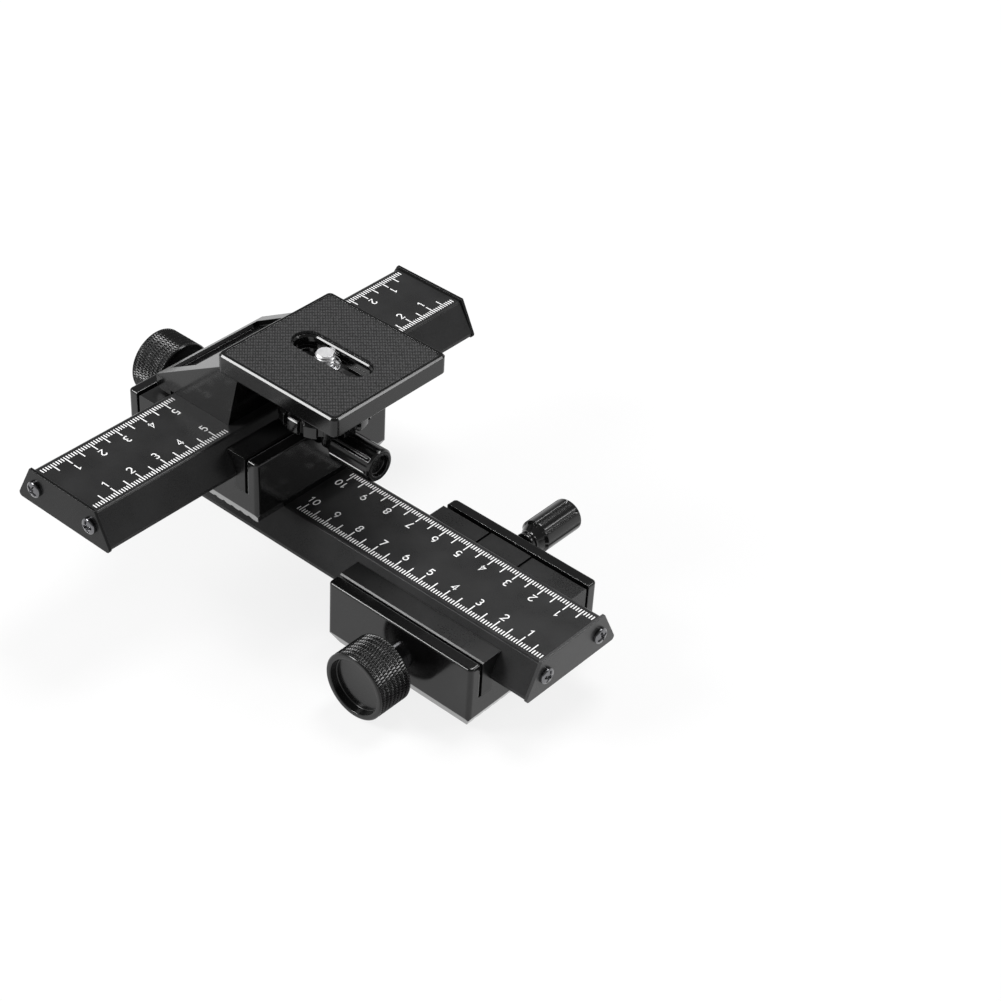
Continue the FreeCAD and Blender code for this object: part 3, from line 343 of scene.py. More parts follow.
# A lighter copy of the end-plate finish for the lower rail's plates: painted light, as these
# plates catch more light than the upper ones.
LIT_END_PLATE = metal_finish(
    "lighter_lit_end_plate", dark=grey(0.02), light=grey(0.036), edge_sheen_and_wear=grey(0.09), rough=0.3,
    edge=0.35, grain=3600, tooth=0.006, specular=0.45)
KNOB = metal_finish(
    "black_knob", dark=grey(0.002), light=grey(0.006), edge_sheen_and_wear=grey(0.04), rough=0.16,
    edge=0.2, grain=4200, tooth=0.003)
KNURLED = metal_finish(
    "black_knurled_knob", dark=grey(0.002), light=grey(0.006), edge_sheen_and_wear=grey(0.02), rough=0.17,
    edge=0.02, grain=4200, tooth=0.001, edge_sheen_and_wear_share=0.2, specular=0.4)
GIB = metal_finish(
    "dark_gib", dark=grey(0.003), light=grey(0.009), edge_sheen_and_wear=grey(0.03), rough=0.3,
    edge=0.15, grain=2200, tooth=0.004, specular=0.35)
STEEL = metal_finish(
    "turned_steel", dark=(0.5, 0.5, 0.51), light=(0.7, 0.7, 0.71), edge_sheen_and_wear=(0.85, 0.85, 0.85),
    rough=0.2, edge=0.12, grain=5000, tooth=0.004, metallic=1.0)
BRIGHT_STEEL = metal_finish(
    "bright_screw_steel", dark=(0.72, 0.72, 0.73), light=(0.84, 0.84, 0.85),
    edge_sheen_and_wear=(0.95, 0.95, 0.95), rough=0.42, edge=0.08, grain=4000, tooth=0.006, metallic=1.0)
BLACK_CHROME = metal_finish(
    "black_chrome", dark=(0.14, 0.14, 0.147), light=(0.24, 0.24, 0.25), edge_sheen_and_wear=(0.6, 0.6, 0.6),
    rough=0.08, edge=0.12, grain=5000, tooth=0.003, metallic=1.0)
BRASS = metal_finish(
    "turned_brass", dark=(0.55, 0.4, 0.17), light=(0.72, 0.55, 0.28), edge_sheen_and_wear=(0.85, 0.7, 0.4),
    rough=0.28, edge=0.12, grain=5000, tooth=0.006, metallic=1.0)
PAINT = metal_finish(
    "white_marks", dark=(0.8, 0.8, 0.8), light=(0.88, 0.88, 0.88), edge_sheen_and_wear=(0.88, 0.88, 0.88),
    rough=0.5, edge=0.02, grain=6000, tooth=0.004, edge_sheen_and_wear_share=0.0)

PAD_PITCH = (0.82, 1.645)
# Painted shade for the hollows and painted light for the crown tops.
PAD_SHADED_HOLLOW, PAD_LIT_CROWN = grey(0.004), grey(0.046)
PAD_GRAIN, PAD_PATCHES = 1300.0, 90.0
PAD_TOOTH, PAD_TOOTH_STRENGTH = 0.08, 0.7
PAD_SPECULAR = 0.26


def pad_finish():
    """Rubber with a fine lattice of crowns set cornerwise, with painted light on the crown tops
    and painted shade between them. A crown's height is sin(pi p / pitch) squared times
    sin(pi q / pitch) squared, where p and q run along the diagonals and each has its own pitch."""
    material, graph, shader = new_material("dotted_rubber")
    where = graph.node("TexCoord").outputs["Object"]
    parts = graph.node("SeparateXYZ", {"Vector": where})
    waves = []
    for operation, pitch in zip(("ADD", "SUBTRACT"), PAD_PITCH):
        way = graph.math(operation, parts.outputs["X"], parts.outputs["Y"])
        turn = graph.math("MULTIPLY", way, math.pi * math.sqrt(0.5) / (pitch * MM))
        waves.append(graph.math("POWER", graph.math("ABSOLUTE", graph.math("SINE", turn)), 2.0))
    crown = graph.math("MULTIPLY", *waves)
    skin = graph.use_group(GRAIN, {"Scale": PAD_GRAIN, "Patch Scale": PAD_PATCHES})
    rough_skin = graph.spread(skin.outputs["Height"], low=0.3, high=0.7, first=-0.3, last=0.5)
    height = graph.math("ADD", crown, rough_skin, clamp=True)
    # Colour from painted shade in the hollows to painted light on the crowns, with random grain.
    graph.feed(shader, "Base Color", graph.blend(height, (*PAD_SHADED_HOLLOW, 1), (*PAD_LIT_CROWN, 1)))
    graph.feed(shader, "Roughness", graph.spread(crown, low=0.0, high=1.0, first=0.65, last=0.42))
    bump = graph.node("Bump", {"Height": height, "Distance": PAD_TOOTH * MM,
                               "Strength": PAD_TOOTH_STRENGTH})
    graph.feed(shader, "Normal", bump.outputs[0])
    shader.inputs["Specular IOR Level"].default_value = PAD_SPECULAR
    return material


RUBBER = pad_finish()

NODE_FINISH = {
    "lower_carriage": CARRIAGE, "upper_carriage": CARRIAGE, "camera_bracket": CASTING,
    "lower_rail": ANODISED, "upper_rail": ANODISED,
    # The lower plates take the lighter copy with painted light.
    "lower_plate_near": LIT_END_PLATE, "lower_plate_far": LIT_END_PLATE,
    "lower_rack": STEEL, "upper_rack": STEEL,
    "lower_pinion_shaft": STEEL, "upper_pinion_shaft": STEEL,
    "camera_washer": STEEL, "camera_clip": STEEL,
    "lower_shaft_bush": BLACK_CHROME, "upper_shaft_bush": BLACK_CHROME,
    "lower_lock_screw": BLACK_CHROME, "upper_lock_screw": BLACK_CHROME,
    "stage_screws": BLACK_CHROME, "bracket_screws": BLACK_CHROME,
    "tripod_bush": BRASS,
}
KIND_FINISH = {"_plate_": PLATE, "_gib": GIB, "_clamp": GIB}


def finish_of(name):
    """A CAD node's own finish, else the one of its kind, else that of the knobs."""
    if name in NODE_FINISH:
        return NODE_FINISH[name]
    return next((finish for word, finish in KIND_FINISH.items() if word in name), KNOB)


def dress_nodes():
    """Give every CAD node its finish."""
    for name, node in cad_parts.items():
        node.data.materials.clear()
        node.data.materials.append(finish_of(name))


# Focus knobs, in millimetres out from the carriage's wall.

KNOB_RADIUS, KNOB_BACK, KNOB_FACE = 11.4, 5.9, 19.1
KNOB_BEVEL_IN, KNOB_BEVEL_HIGH = 0.45, 0.4
KNOB_RECESS, KNOB_RECESS_TAPER, KNOB_RECESS_DEEP = 9.5, 0.2, 2.6
KNOB_COLLAR, KNOB_COLLAR_LOW, KNOB_COLLAR_HIGH = 4.3, 2.3, 3.2
KNOB_CONE = 9.6
KNOB_ROUNDING = 0.35
KNURL_COUNT = 74
KNURL_STEP = 3.4
KNURL_DEEP = 0.34
KNURL_CREST = 1.3
KNURL_CELL = 8
KNURL_ROW = 0.2
KNURL_ROW_MARGIN = 0.3
KNURL_BORDER, KNURL_FADE, KNURL_SKIN = 0.5, 0.25, 0.2


def knurled(radius, height, angle):
    """Diamond knurl: on the barrel the radius drops by the depth times one minus the lower
    of two zigzags, which climb round the barrel in opposite ways."""
    turn = angle / FULL_TURN * KNURL_COUNT
    climb = height / KNURL_STEP
    peak = np.minimum(zigzag(turn + climb), zigzag(turn - climb))
    low, high = KNOB_BACK + KNURL_BORDER, KNOB_FACE - KNURL_BORDER
    band = (ramp(height, low, low + KNURL_FADE) * (1 - ramp(height, high - KNURL_FADE, high))
            * (radius > KNOB_RADIUS - KNURL_SKIN))
    return radius - KNURL_DEEP * band * (1 - np.minimum(peak * KNURL_CREST, 1)), height


def focus_knob(name, node, body, origin, outward, across):
    """A knob with a knurled barrel and a recessed face: a rounded profile of radius and
    height, turned round the shaft's axis."""
    shoulder = KNOB_RADIUS - KNOB_BEVEL_IN
    floor = KNOB_FACE - KNOB_RECESS_DEEP
    corners = [(0, KNOB_COLLAR_LOW), (KNOB_COLLAR, KNOB_COLLAR_LOW),
               (KNOB_COLLAR, KNOB_COLLAR_HIGH), (KNOB_CONE, KNOB_BACK), (shoulder, KNOB_BACK),
               (KNOB_RADIUS, KNOB_BACK + KNOB_BEVEL_HIGH),
               (KNOB_RADIUS, KNOB_FACE - KNOB_BEVEL_HIGH), (shoulder, KNOB_FACE),
               (KNOB_RECESS, KNOB_FACE), (KNOB_RECESS - KNOB_RECESS_TAPER, floor), (0, floor)]
    profile = refined(rounded(corners, KNOB_ROUNDING), KNOB_BACK + KNURL_ROW_MARGIN,
                      KNOB_FACE - KNURL_ROW_MARGIN, KNURL_ROW)
    points = turned(profile, round_angles(KNURL_COUNT * KNURL_CELL), knurled)
    wall = np.asarray(origin) + outward * WALL
    grid_piece(name, stand(points, wall, outward, across), KNURLED, body, node)


# Lock knobs, in millimetres out from the carriage's wall.

LOCK_RADIUS, LOCK_BODY, LOCK_FACE = 5.65, 6.6, 23.2
LOCK_NECK, LOCK_NECK_LOW, LOCK_NECK_HIGH = 3.6, 1.2, 3.7
LOCK_GROOVE, LOCK_GROOVE_HEIGHTS = 3.1, (2.3, 2.5, 2.9, 3.1)
LOCK_SHOULDER, LOCK_SHOULDER_DROP = 4.75, 0.8
LOCK_RIM, LOCK_RIM_DROP = 5.0, 0.7
LOCK_HOLLOW, LOCK_HOLLOW_FOOT, LOCK_HOLLOW_DEEP = 3.6, 3.4, 1.6
LOCK_ROUNDING = 0.3
LOCK_ROW, LOCK_ROWS_FROM = 0.5, 3.6
FLUTES = 8
FLUTE_DEEP = 0.42
FLUTE_SHARE = 0.3
FLUTE_START = (LOCK_BODY - 1.0, LOCK_BODY + 0.2)
FLUTE_END = (LOCK_FACE - 1.9, LOCK_FACE - 0.6)
FLUTE_INSIDE = (3.7, 4.9)
FLUTE_COLUMNS = np.concatenate([np.linspace(-0.5, -0.16, 12), np.linspace(-0.15, 0.15, 19),
                                np.linspace(0.16, 0.47, 11)])


def fluted(radius, height, angle):
    """Narrow hollow flutes between broad round lands: across a flute the radius drops by the
    depth times one minus the square of the way out to its edge, fading out at both ends."""
    period = FULL_TURN / FLUTES
    way = from_nearest(angle, period) / (period / 2 * FLUTE_SHARE)
    hollow = np.maximum(1 - way ** 2, 0)
    body = (ramp(height, *FLUTE_START) * ramp(radius, *FLUTE_INSIDE)
            * (1 - ramp(height, *FLUTE_END)))
    return radius - FLUTE_DEEP * hollow * body, height


def lock_knob(name, node, body, origin, outward, across):
    """A fluted knob with a stepped neck and a hollow end: a rounded profile of radius and
    height, turned round the screw's axis."""
    step, groove_low, groove_high, step_end = LOCK_GROOVE_HEIGHTS
    floor = LOCK_FACE - LOCK_HOLLOW_DEEP
    corners = [(0, LOCK_NECK_LOW), (LOCK_NECK, LOCK_NECK_LOW), (LOCK_NECK, step),
               (LOCK_GROOVE, groove_low), (LOCK_GROOVE, groove_high), (LOCK_NECK, step_end),
               (LOCK_NECK, LOCK_NECK_HIGH), (LOCK_SHOULDER, LOCK_BODY - LOCK_SHOULDER_DROP),
               (LOCK_RADIUS, LOCK_BODY), (LOCK_RADIUS, LOCK_FACE - LOCK_RIM_DROP),
               (LOCK_RIM, LOCK_FACE), (LOCK_HOLLOW, LOCK_FACE), (LOCK_HOLLOW_FOOT, floor),
               (0, floor)]
    profile = refined(rounded(corners, LOCK_ROUNDING), LOCK_ROWS_FROM, LOCK_FACE, LOCK_ROW)
    angles = ((np.arange(FLUTES)[:, None] + FLUTE_COLUMNS) / FLUTES * FULL_TURN).ravel()
    wall = np.asarray(origin) + outward * WALL
    points = stand(turned(profile, angles, fluted), wall, outward, across)
    grid_piece(name, points, KNOB, body, node)


# Thumbwheel and camera screw, in millimetres up from the upper rail's top.

WHEEL_RADIUS, WHEEL_FLAT, WHEEL_INNER = 14.5, 13.6, 11.2
WHEEL_LOW, WHEEL_HIGH, WHEEL_BEVEL = 2.3, 7.8, 0.8
HUB_RADIUS, HUB_HIGH = 6.5, 15.8
HUB_BORE, HUB_BORE_DEEP = 2.6, 1.0
WHEEL_ROUNDING = 0.35
NOTCHES = 14
NOTCH_WIDE, NOTCH_DEEP, NOTCH_WALL = 1.8, 1.5, 0.25
NOTCH_INSIDE = (9.6, 12.6)
NOTCH_FLOOR_POINTS, NOTCH_LAND_POINTS = 6, 9
NOTCH_WALL_STEPS = np.array([0.35, 0.7, 1.0])
NOTCH_LAND_START = 3


def thumbwheel(stud):
    """The notched wheel: a rounded profile turned round the stud's axis, whose radius drops
    by the notch depth between steep walls, so that the flat faces draw in with the rim."""
    corners = [(0, WHEEL_LOW), (WHEEL_FLAT, WHEEL_LOW), (WHEEL_RADIUS, WHEEL_LOW + WHEEL_BEVEL),
               (WHEEL_RADIUS, WHEEL_HIGH - WHEEL_BEVEL), (WHEEL_FLAT, WHEEL_HIGH),
               (WHEEL_INNER, WHEEL_HIGH), (HUB_RADIUS, WHEEL_HIGH), (HUB_RADIUS, HUB_HIGH),
               (HUB_BORE, HUB_HIGH), (HUB_BORE, HUB_HIGH - HUB_BORE_DEEP),
               (0, HUB_HIGH - HUB_BORE_DEEP)]
    half = NOTCH_WIDE / 2 / WHEEL_RADIUS
    period = FULL_TURN / NOTCHES
    lip = NOTCH_WALL / WHEEL_RADIUS
    land = half + NOTCH_LAND_START * lip
    cell = np.concatenate([
        np.linspace(-half, half, NOTCH_FLOOR_POINTS), half + lip * NOTCH_WALL_STEPS,
        np.linspace(land, period - land, NOTCH_LAND_POINTS),
        period - half - lip * NOTCH_WALL_STEPS[::-1]])
    angles = (np.arange(NOTCHES)[:, None] * period + cell).ravel()

    def notched(radius, height, angle):
        depth = NOTCH_DEEP * (1 - ramp(from_nearest(angle, period), half, half + lip))
        return radius - depth * ramp(radius, *NOTCH_INSIDE), height

    points = turned(rounded(corners, WHEEL_ROUNDING), angles, notched)
    grid_piece("thumbwheel", stand(points, stud, Z_AXIS, X_AXIS), KNOB, "camera_screw",
               "camera_thumbwheel")


THREAD_RADIUS, THREAD_PITCH, THREAD_DEEP = 3.175, 1.27, 0.5
THREAD_LOW, THREAD_HIGH = 22.15, 25.1
THREAD_IN, THREAD_OUT = (THREAD_LOW, THREAD_LOW + 0.4), (25.0, 25.3)
THREAD_ROW, THREAD_COLUMNS = 0.09, 64
THREAD_FLANK, THREAD_CREST = 1.3, 0.15
SHANK, SHANK_LOW, SHANK_HIGH = 2.6, 5.05, 21.75
CLIP_GROOVE = 2.2
TIP, TIP_HIGH = 2.675, 25.6


def threaded(radius, height, angle):
    """A thread: the radius falls by the thread's depth times a zigzag that climbs one pitch
    for each turn, cut flat at the crest and the root, and fading out at both ends."""
    wave = zigzag(height / THREAD_PITCH - angle / FULL_TURN)
    band = ramp(height, *THREAD_IN) * (1 - ramp(height, *THREAD_OUT))
    depth = np.clip(wave * THREAD_FLANK - THREAD_CREST, 0, 1)
    return radius - THREAD_DEEP * depth * band, height


def camera_screw(stud):
    """The captive screw: a slim shank, the clip's groove and a threaded end in one profile,
    turned round the stud's axis."""
    corners = [(0, SHANK_LOW), (SHANK, SHANK_LOW), (SHANK, SHANK_HIGH),
               (CLIP_GROOVE, SHANK_HIGH), (CLIP_GROOVE, THREAD_LOW),
               (THREAD_RADIUS, THREAD_LOW), (THREAD_RADIUS, THREAD_HIGH), (TIP, TIP_HIGH),
               (0, TIP_HIGH)]
    profile = refined(np.array(corners, float), THREAD_LOW, THREAD_HIGH, THREAD_ROW)
    points = turned(profile, round_angles(THREAD_COLUMNS), threaded)
    grid_piece("camera_stud_threaded", stand(points, stud, Z_AXIS, X_AXIS), BRIGHT_STEEL,
               "camera_screw", "camera_screw")


# Cross-recessed screws of the end plates.

HEAD_RADIUS, HEAD_HIGH, HEAD_RIM, HEAD_BEVEL = 2.7, 1.7, 0.75, 0.1
SHANK_RADIUS, SHANK_LONG = 1.4, 8.0
DOME_ROWS, HEAD_COLUMNS = 20, 72
CROSS_DEEP = 1.0
CROSS_SIDE, CROSS_END, CROSS_FLOOR = (0.36, 0.6), (1.6, 2.1), (0.9, 1.1)
PLATE_THICK = 1.0
SCREW_SIDE, SCREW_UP = 12.45, 5.7
FIRST_SPIN, NEXT_SPIN = math.radians(25), math.radians(40)


def cross_recess(radius, height, angle):
    """A cross cut into the dome: its depth falls from the middle of each arm to the arm's
    side and end, where x and y are the point's place on the head."""
    x, y = np.abs(radius * np.cos(angle)), np.abs(radius * np.sin(angle))
    arm = (1 - ramp(np.minimum(x, y), *CROSS_SIDE)) * (1 - ramp(np.maximum(x, y), *CROSS_END))
    return radius, height - CROSS_DEEP * arm * ramp(height, *CROSS_FLOOR)


def plate_screws(name, node, body, rail_low, rail_high, along, across):
    """Four pan-head screws, two at each end of a rail: a profile turned round each screw's
    axis, whose dome is a quarter of an ellipse, (radius cos a, rim + rise sin a)."""
    rise = np.linspace(0, QUARTER_TURN, DOME_ROWS)
    dome = np.stack([HEAD_RADIUS * np.cos(rise),
                     HEAD_RIM + (HEAD_HIGH - HEAD_RIM) * np.sin(rise)], -1)
    foot = [(0, -SHANK_LONG), (SHANK_RADIUS, -SHANK_LONG), (SHANK_RADIUS, 0),
            (HEAD_RADIUS - HEAD_BEVEL, 0), (HEAD_RADIUS, HEAD_BEVEL)]
    points = turned(np.concatenate([foot, dome]), round_angles(HEAD_COLUMNS), cross_recess)
    rows, columns = points.shape[:2]
    middle = (rail_low + rail_high) / 2
    half = abs((rail_high - rail_low) @ along) / 2 + PLATE_THICK
    screws, faces = [], []
    for number, (end, side) in enumerate([(1, 1), (1, -1), (-1, 1), (-1, -1)]):
        outward = along * end
        spin = FIRST_SPIN + NEXT_SPIN * number
        arm = across * math.cos(spin) + np.cross(outward, across) * math.sin(spin)
        spot = middle + outward * half + across * side * SCREW_SIDE
        spot[2] = rail_low[2] + SCREW_UP
        screws.append(stand(points, spot, outward, arm).reshape(-1, 3))
        faces.append(net(rows, columns, offset=number * rows * columns))
    mesh_piece(name, np.concatenate(screws), np.concatenate(faces), BLACK_CHROME, body,
               node)


# Pad on the platform and the lip round its slot.

SLOT_LONG, SLOT_RADIUS = 15.5, 5.2
PAD_CORNER, PAD_POINTS = 1.5, 40
PAD_EDGE_DROP, PAD_SLOT_DROP, PAD_SLOT_IN = 0.25, 0.2, 0.004
RIM_POINTS = 28
# Inset from the slot's outline and height over the pad's underside.
RIM_PROFILE = [(0.05, -0.25), (0.3, -0.25), (0.75, -0.8), (0.75, -1.7), (0.05, -1.7),
               (0.05, -0.25)]


def round_rectangle(half_x, half_y, radius, count):
    """Points round a rectangle with rounded corners, count on each quarter, from +X on."""
    side = count // 4
    bend = np.linspace(0, QUARTER_TURN, count - 2 * side)
    run = np.arange(side)
    first = np.stack([np.full(side, half_x), run / side * (half_y - radius)], -1)
    arc = np.stack([half_x - radius + radius * np.cos(bend),
                    half_y - radius + radius * np.sin(bend)], -1)
    last = np.stack([(half_x - radius) * (1 - (run + 1) / (side + 1)),
                     np.full(side, half_y)], -1)
    quarter = np.concatenate([first, arc, last])
    second = quarter[::-1] * (-1, 1)
    upper = np.concatenate([quarter, second])
    lower = upper[::-1] * (1, -1)
    ring = np.concatenate([upper, lower])
    keep = np.linalg.norm(ring - np.roll(ring, 1, axis=0), axis=1) > TINY
    return ring[keep]


def slot_ring(outline, half_long, radius):
    """The point of a round-ended slot in the direction of each point of an outline: on the
    nearer end's circle, or on the straight side."""
    bearing = np.arctan2(outline[:, 1], outline[:, 0])
    run = half_long - radius
    cos, sin = np.cos(bearing), np.sin(bearing)
    on_side = np.abs(cos) * radius <= np.abs(sin) * run
    reach_side = radius / np.maximum(np.abs(sin), TINY)
    reach_end = np.abs(cos) * run + np.sqrt(np.maximum(radius ** 2 - (sin * run) ** 2, 0))
    reach = np.where(on_side, reach_side, reach_end)
    return np.stack([reach * cos, reach * sin], -1)


def platform_ring(ring, height):
    """A level ring of points round the pad's middle, at a height over its underside."""
    return np.column_stack([ring + PAD_MIDDLE[:2], np.full(len(ring), PAD_LOW[2] + height)])


def camera_pad():
    """The pad: rings that go from the slot's foot up its wall, over the top to the outer
    edge and down again, each ring a blend of the slot's outline and the pad's."""
    half_x, half_y, _ = (PAD_HIGH - PAD_LOW) / 2
    thick = PAD_HIGH[2] - PAD_LOW[2]
    outer = round_rectangle(half_x, half_y, PAD_CORNER, PAD_POINTS)
    inner = slot_ring(outer, SLOT_LONG, SLOT_RADIUS)
    shares = [(0.0, 0.0), (0.0, thick - PAD_SLOT_DROP), (PAD_SLOT_IN, thick), (0.3, thick),
              (0.6, thick), (0.99, thick), (1.0, thick - PAD_EDGE_DROP), (1.0, 0.0), (0.5, 0.0)]
    rings = [platform_ring(inner * (1 - share) + outer * share, height)
             for share, height in shares]
    grid_piece("platform_pad", np.stack(rings + rings[:1]), RUBBER, "upper_slide",
               "camera_pad")


def slot_rim():
    """A lip round the platform's slot, under the pad: each ring is a round-ended slot drawn in
    by the profile's inset, its straight sides running on between the two end circles."""
    bend = np.linspace(-QUARTER_TURN, QUARTER_TURN, RIM_POINTS)
    run = SLOT_LONG - SLOT_RADIUS
    rings = []
    for inset, height in RIM_PROFILE:
        radius = SLOT_RADIUS - inset
        near = np.stack([run + radius * np.cos(bend), radius * np.sin(bend)], -1)
        rings.append(platform_ring(np.concatenate([near, -near]), height))
    grid_piece("platform_slot_rim", np.stack(rings), CASTING, "upper_slide")


# Scales: white ticks and numbers along both edges of a rail.

BASELINE, SHORT_TICK, LONG_TICK, TICK_WIDE = 12.89, 1.8, 4.3, 0.4
LONG_EVERY, NUMBER_EVERY = 5, 10
PAINT_HIGH = 0.02
DIGIT_HIGH, DIGIT_STROKE, DIGIT_STEP, DIGIT_GAP = 3.2, 0.42, 2.35, 0.75
SHARPEST_JOIN = 0.6
LOWER_ZERO, LOWER_TICKS, LOWER_NUMBERS = 42.2, 101, 10
UPPER_ZERO, UPPER_TICKS, UPPER_NUMBERS = 79.6, 54, 5
BOX_FACES = np.array([[0, 1, 2, 3], [7, 6, 5, 4], [0, 4, 5, 1], [1, 5, 6, 2], [2, 6, 7, 3],
                      [3, 7, 4, 0]])
BOX_CORNERS = np.array([[-1, -1, -1], [-1, 1, -1], [1, 1, -1], [1, -1, -1],
                        [-1, -1, 1], [-1, 1, 1], [1, 1, 1], [1, -1, 1]]) / 2


def scale_ticks(name, body, origin, along, across, top, places):
    """White ticks on both edges: thin slabs across the rail, one for each place, long at
    every fifth."""
    middles, sizes = [], []
    for number, place in places:
        length = SHORT_TICK if number % LONG_EVERY else LONG_TICK
        for side in (-1, 1):
            centre = origin + along * place + across * side * (BASELINE - length / 2)
            middles.append([*centre[:2], top])
            sizes.append(np.abs(along * TICK_WIDE + across * length + Z_AXIS * PAINT_HIGH * 2))
    points = np.array(middles)[:, None] + BOX_CORNERS[None] * np.array(sizes)[:, None]
    faces = BOX_FACES[None] + np.arange(len(middles))[:, None, None] * len(BOX_CORNERS)
    mesh_piece(name, points.reshape(-1, 3), faces.reshape(-1, 4), PAINT, body)


def bow(centre, reach, start, end, count=14):
    """Points on part of an ellipse: the centre plus reach times (cos a, sin a), in turns."""
    angle = np.linspace(start, end, count) * FULL_TURN
    return np.asarray(centre) + np.stack([np.cos(angle), np.sin(angle)], -1) * reach


def digit_strokes():
    """The pen's path for each digit, one unit high and centred on X."""
    top, foot, side = 0.93, 0.07, 0.24
    nine = np.concatenate([bow((0, 0.66), (side, 0.27), 0.0, 1.0, 22),
                           bow((-0.1, 0.6), (0.34, 0.53), 0.0, -0.2, 9)])
    return {
        "0": [bow((0, 0.5), (side, 0.43), 0.0, 1.0, 26)],
        "1": [[(-0.17, 0.74), (0.06, top), (0.06, foot)]],
        "2": [np.concatenate([bow((0, 0.69), (side, 0.24), 0.47, -0.07), [(-side, foot)],
                              [(side + 0.02, foot)]])],
        "3": [np.concatenate([bow((0, 0.72), (0.21, 0.21), 0.4, -0.25),
                              bow((0, 0.29), (side, 0.22), 0.25, -0.4)])],
        "4": [[(0.12, foot), (0.12, top), (-0.26, 0.3), (0.28, 0.3)]],
        "5": [np.concatenate([[(0.2, top), (-0.16, top), (-0.2, 0.53)],
                              bow((0, 0.34), (side, 0.27), 0.36, -0.4)])],
        "6": [-nine + (0, 1)],
        "7": [[(-side, top), (side, top), (-0.06, foot)]],
        "8": [bow((0, 0.71), (0.2, 0.22), -0.25, 0.75, 22),
              bow((0, 0.28), (side, 0.21), 0.25, 1.25, 22)],
        "9": [nine],
    }


STROKES = digit_strokes()


def ribbon(path):
    """A flat bar along a path: at each point the two sides stand half a stroke off, along the
    bisector of the runs that meet there."""
    path = np.asarray(path, float)
    path = path[np.append(True, np.linalg.norm(np.diff(path, axis=0), axis=1) > TINY)]
    runs = np.diff(path, axis=0)
    runs /= np.linalg.norm(runs, axis=1)[:, None]
    before, after = np.vstack([runs[:1], runs]), np.vstack([runs, runs[-1:]])
    along = before + after
    along /= np.linalg.norm(along, axis=1)[:, None]
    wide = DIGIT_STROKE / 2 / np.maximum((along * before).sum(1), SHARPEST_JOIN)
    off = np.stack([-along[:, 1], along[:, 0]], -1) * wide[:, None]
    flat = np.stack([path - off, path + off, path + off, path - off], 1)
    height = np.broadcast_to([0, 0, PAINT_HIGH, PAINT_HIGH], flat.shape[:2])[..., None]
    points = np.concatenate([flat, height], -1).reshape(-1, 3)
    count = len(points)
    ends = np.array([[0, 1, 2, 3], [count - 1, count - 2, count - 3, count - 4]])
    return points, np.concatenate([net(len(path), 4), ends])


def digits(text):
    """The points and faces of a number, centred, upright in the XY plane, in millimetres."""
    points, faces, count = [], [], 0
    for place, letter in enumerate(text):
        shift = (place - (len(text) - 1) / 2) * DIGIT_STEP
        for path in STROKES[letter]:
            corners, sides = ribbon((np.asarray(path) - (0, 0.5)) * DIGIT_HIGH + (shift, 0))
            points.append(corners)
            faces.append(sides + count)
            count += len(corners)
    return np.concatenate(points), np.concatenate(faces)


def scale_numbers(name, body, origin, along, across, top, places):
    """White numbers inside the centimetre ticks, each set to be read from its own edge."""
    points, faces, count = [], [], 0
    reach = BASELINE - LONG_TICK - DIGIT_GAP - DIGIT_HIGH / 2
    for number, place in places:
        shape, sides = digits(str(number))
        for side in (-1, 1):
            up = -across * side
            right = np.cross(up, Z_AXIS)
            spot = origin + along * place + across * side * reach
            spot[2] = top
            points.append(spot + shape @ np.stack([right, up, Z_AXIS]))
            faces.append(sides + count)
            count += len(shape)
    mesh_piece(name, np.concatenate(points), np.concatenate(faces), PAINT, body)


def scale_places(zero, ends, step, count):
    """The numbers of a scale with their places: steps inward from the zero at each end."""
    return [(n, end * (zero - step * n)) for end in ends for n in range(1, count + 1)]


def add_scales():
    """Ticks and numbers: the lower rail counts from its near end to the upper carriage, the
    upper rail from both ends to the bracket."""
    lower = (np.zeros(3), X_AXIS, Y_AXIS, LOWER_RAIL_TOP)
    scale_ticks("lower_scale_ticks", "lower_slide", *lower,
                scale_places(LOWER_ZERO, (1,), 1, LOWER_TICKS))
    scale_numbers("lower_scale_numbers", "lower_slide", *lower,
                  scale_places(LOWER_ZERO, (1,), NUMBER_EVERY, LOWER_NUMBERS))
    upper = (X_AXIS * UPPER_RAIL_X, Y_AXIS, X_AXIS, UPPER_RAIL_TOP)
    scale_ticks("upper_scale_ticks", "upper_slide", *upper,
                scale_places(UPPER_ZERO, (-1, 1), 1, UPPER_TICKS))
    scale_numbers("upper_scale_numbers", "upper_slide", *upper,
                  scale_places(UPPER_ZERO, (-1, 1), NUMBER_EVERY, UPPER_NUMBERS))


# Assembly.

def add_pieces():
    """Every finer piece in its place, on the body that carries it."""
    focus_knob("lower_knob_knurled", "lower_focus_knob", "lower_focus",
               [0, 0, FOCUS_HIGH], -Y_AXIS, X_AXIS)
    focus_knob("upper_knob_knurled", "upper_focus_knob", "upper_focus",
               [UPPER_RAIL_X, 0, LOWER_RAIL_TOP + FOCUS_HIGH], -X_AXIS, Y_AXIS)
    lock_knob("lower_lock_fluted", "lower_lock_knob", "lower_lock",
              [CLAMP_SHIFT, 0, LOCK_HIGH], Y_AXIS, X_AXIS)
    lock_knob("upper_lock_fluted", "upper_lock_knob", "upper_lock",
              [UPPER_RAIL_X, -CLAMP_SHIFT, LOWER_RAIL_TOP + LOCK_HIGH], X_AXIS, Y_AXIS)
    stud = [STUD_X, 0, UPPER_RAIL_TOP]
    thumbwheel(stud)
    camera_screw(stud)
    plate_screws("lower_cross_screws", "lower_plate_screws", "lower_slide",
                 *box_of("lower_rail"), X_AXIS, Y_AXIS)
    plate_screws("upper_cross_screws", "upper_plate_screws", "upper_slide",
                 *box_of("upper_rail"), Y_AXIS, X_AXIS)
    camera_pad()
    slot_rim()
    add_scales()


# Studio, in metres and watts.

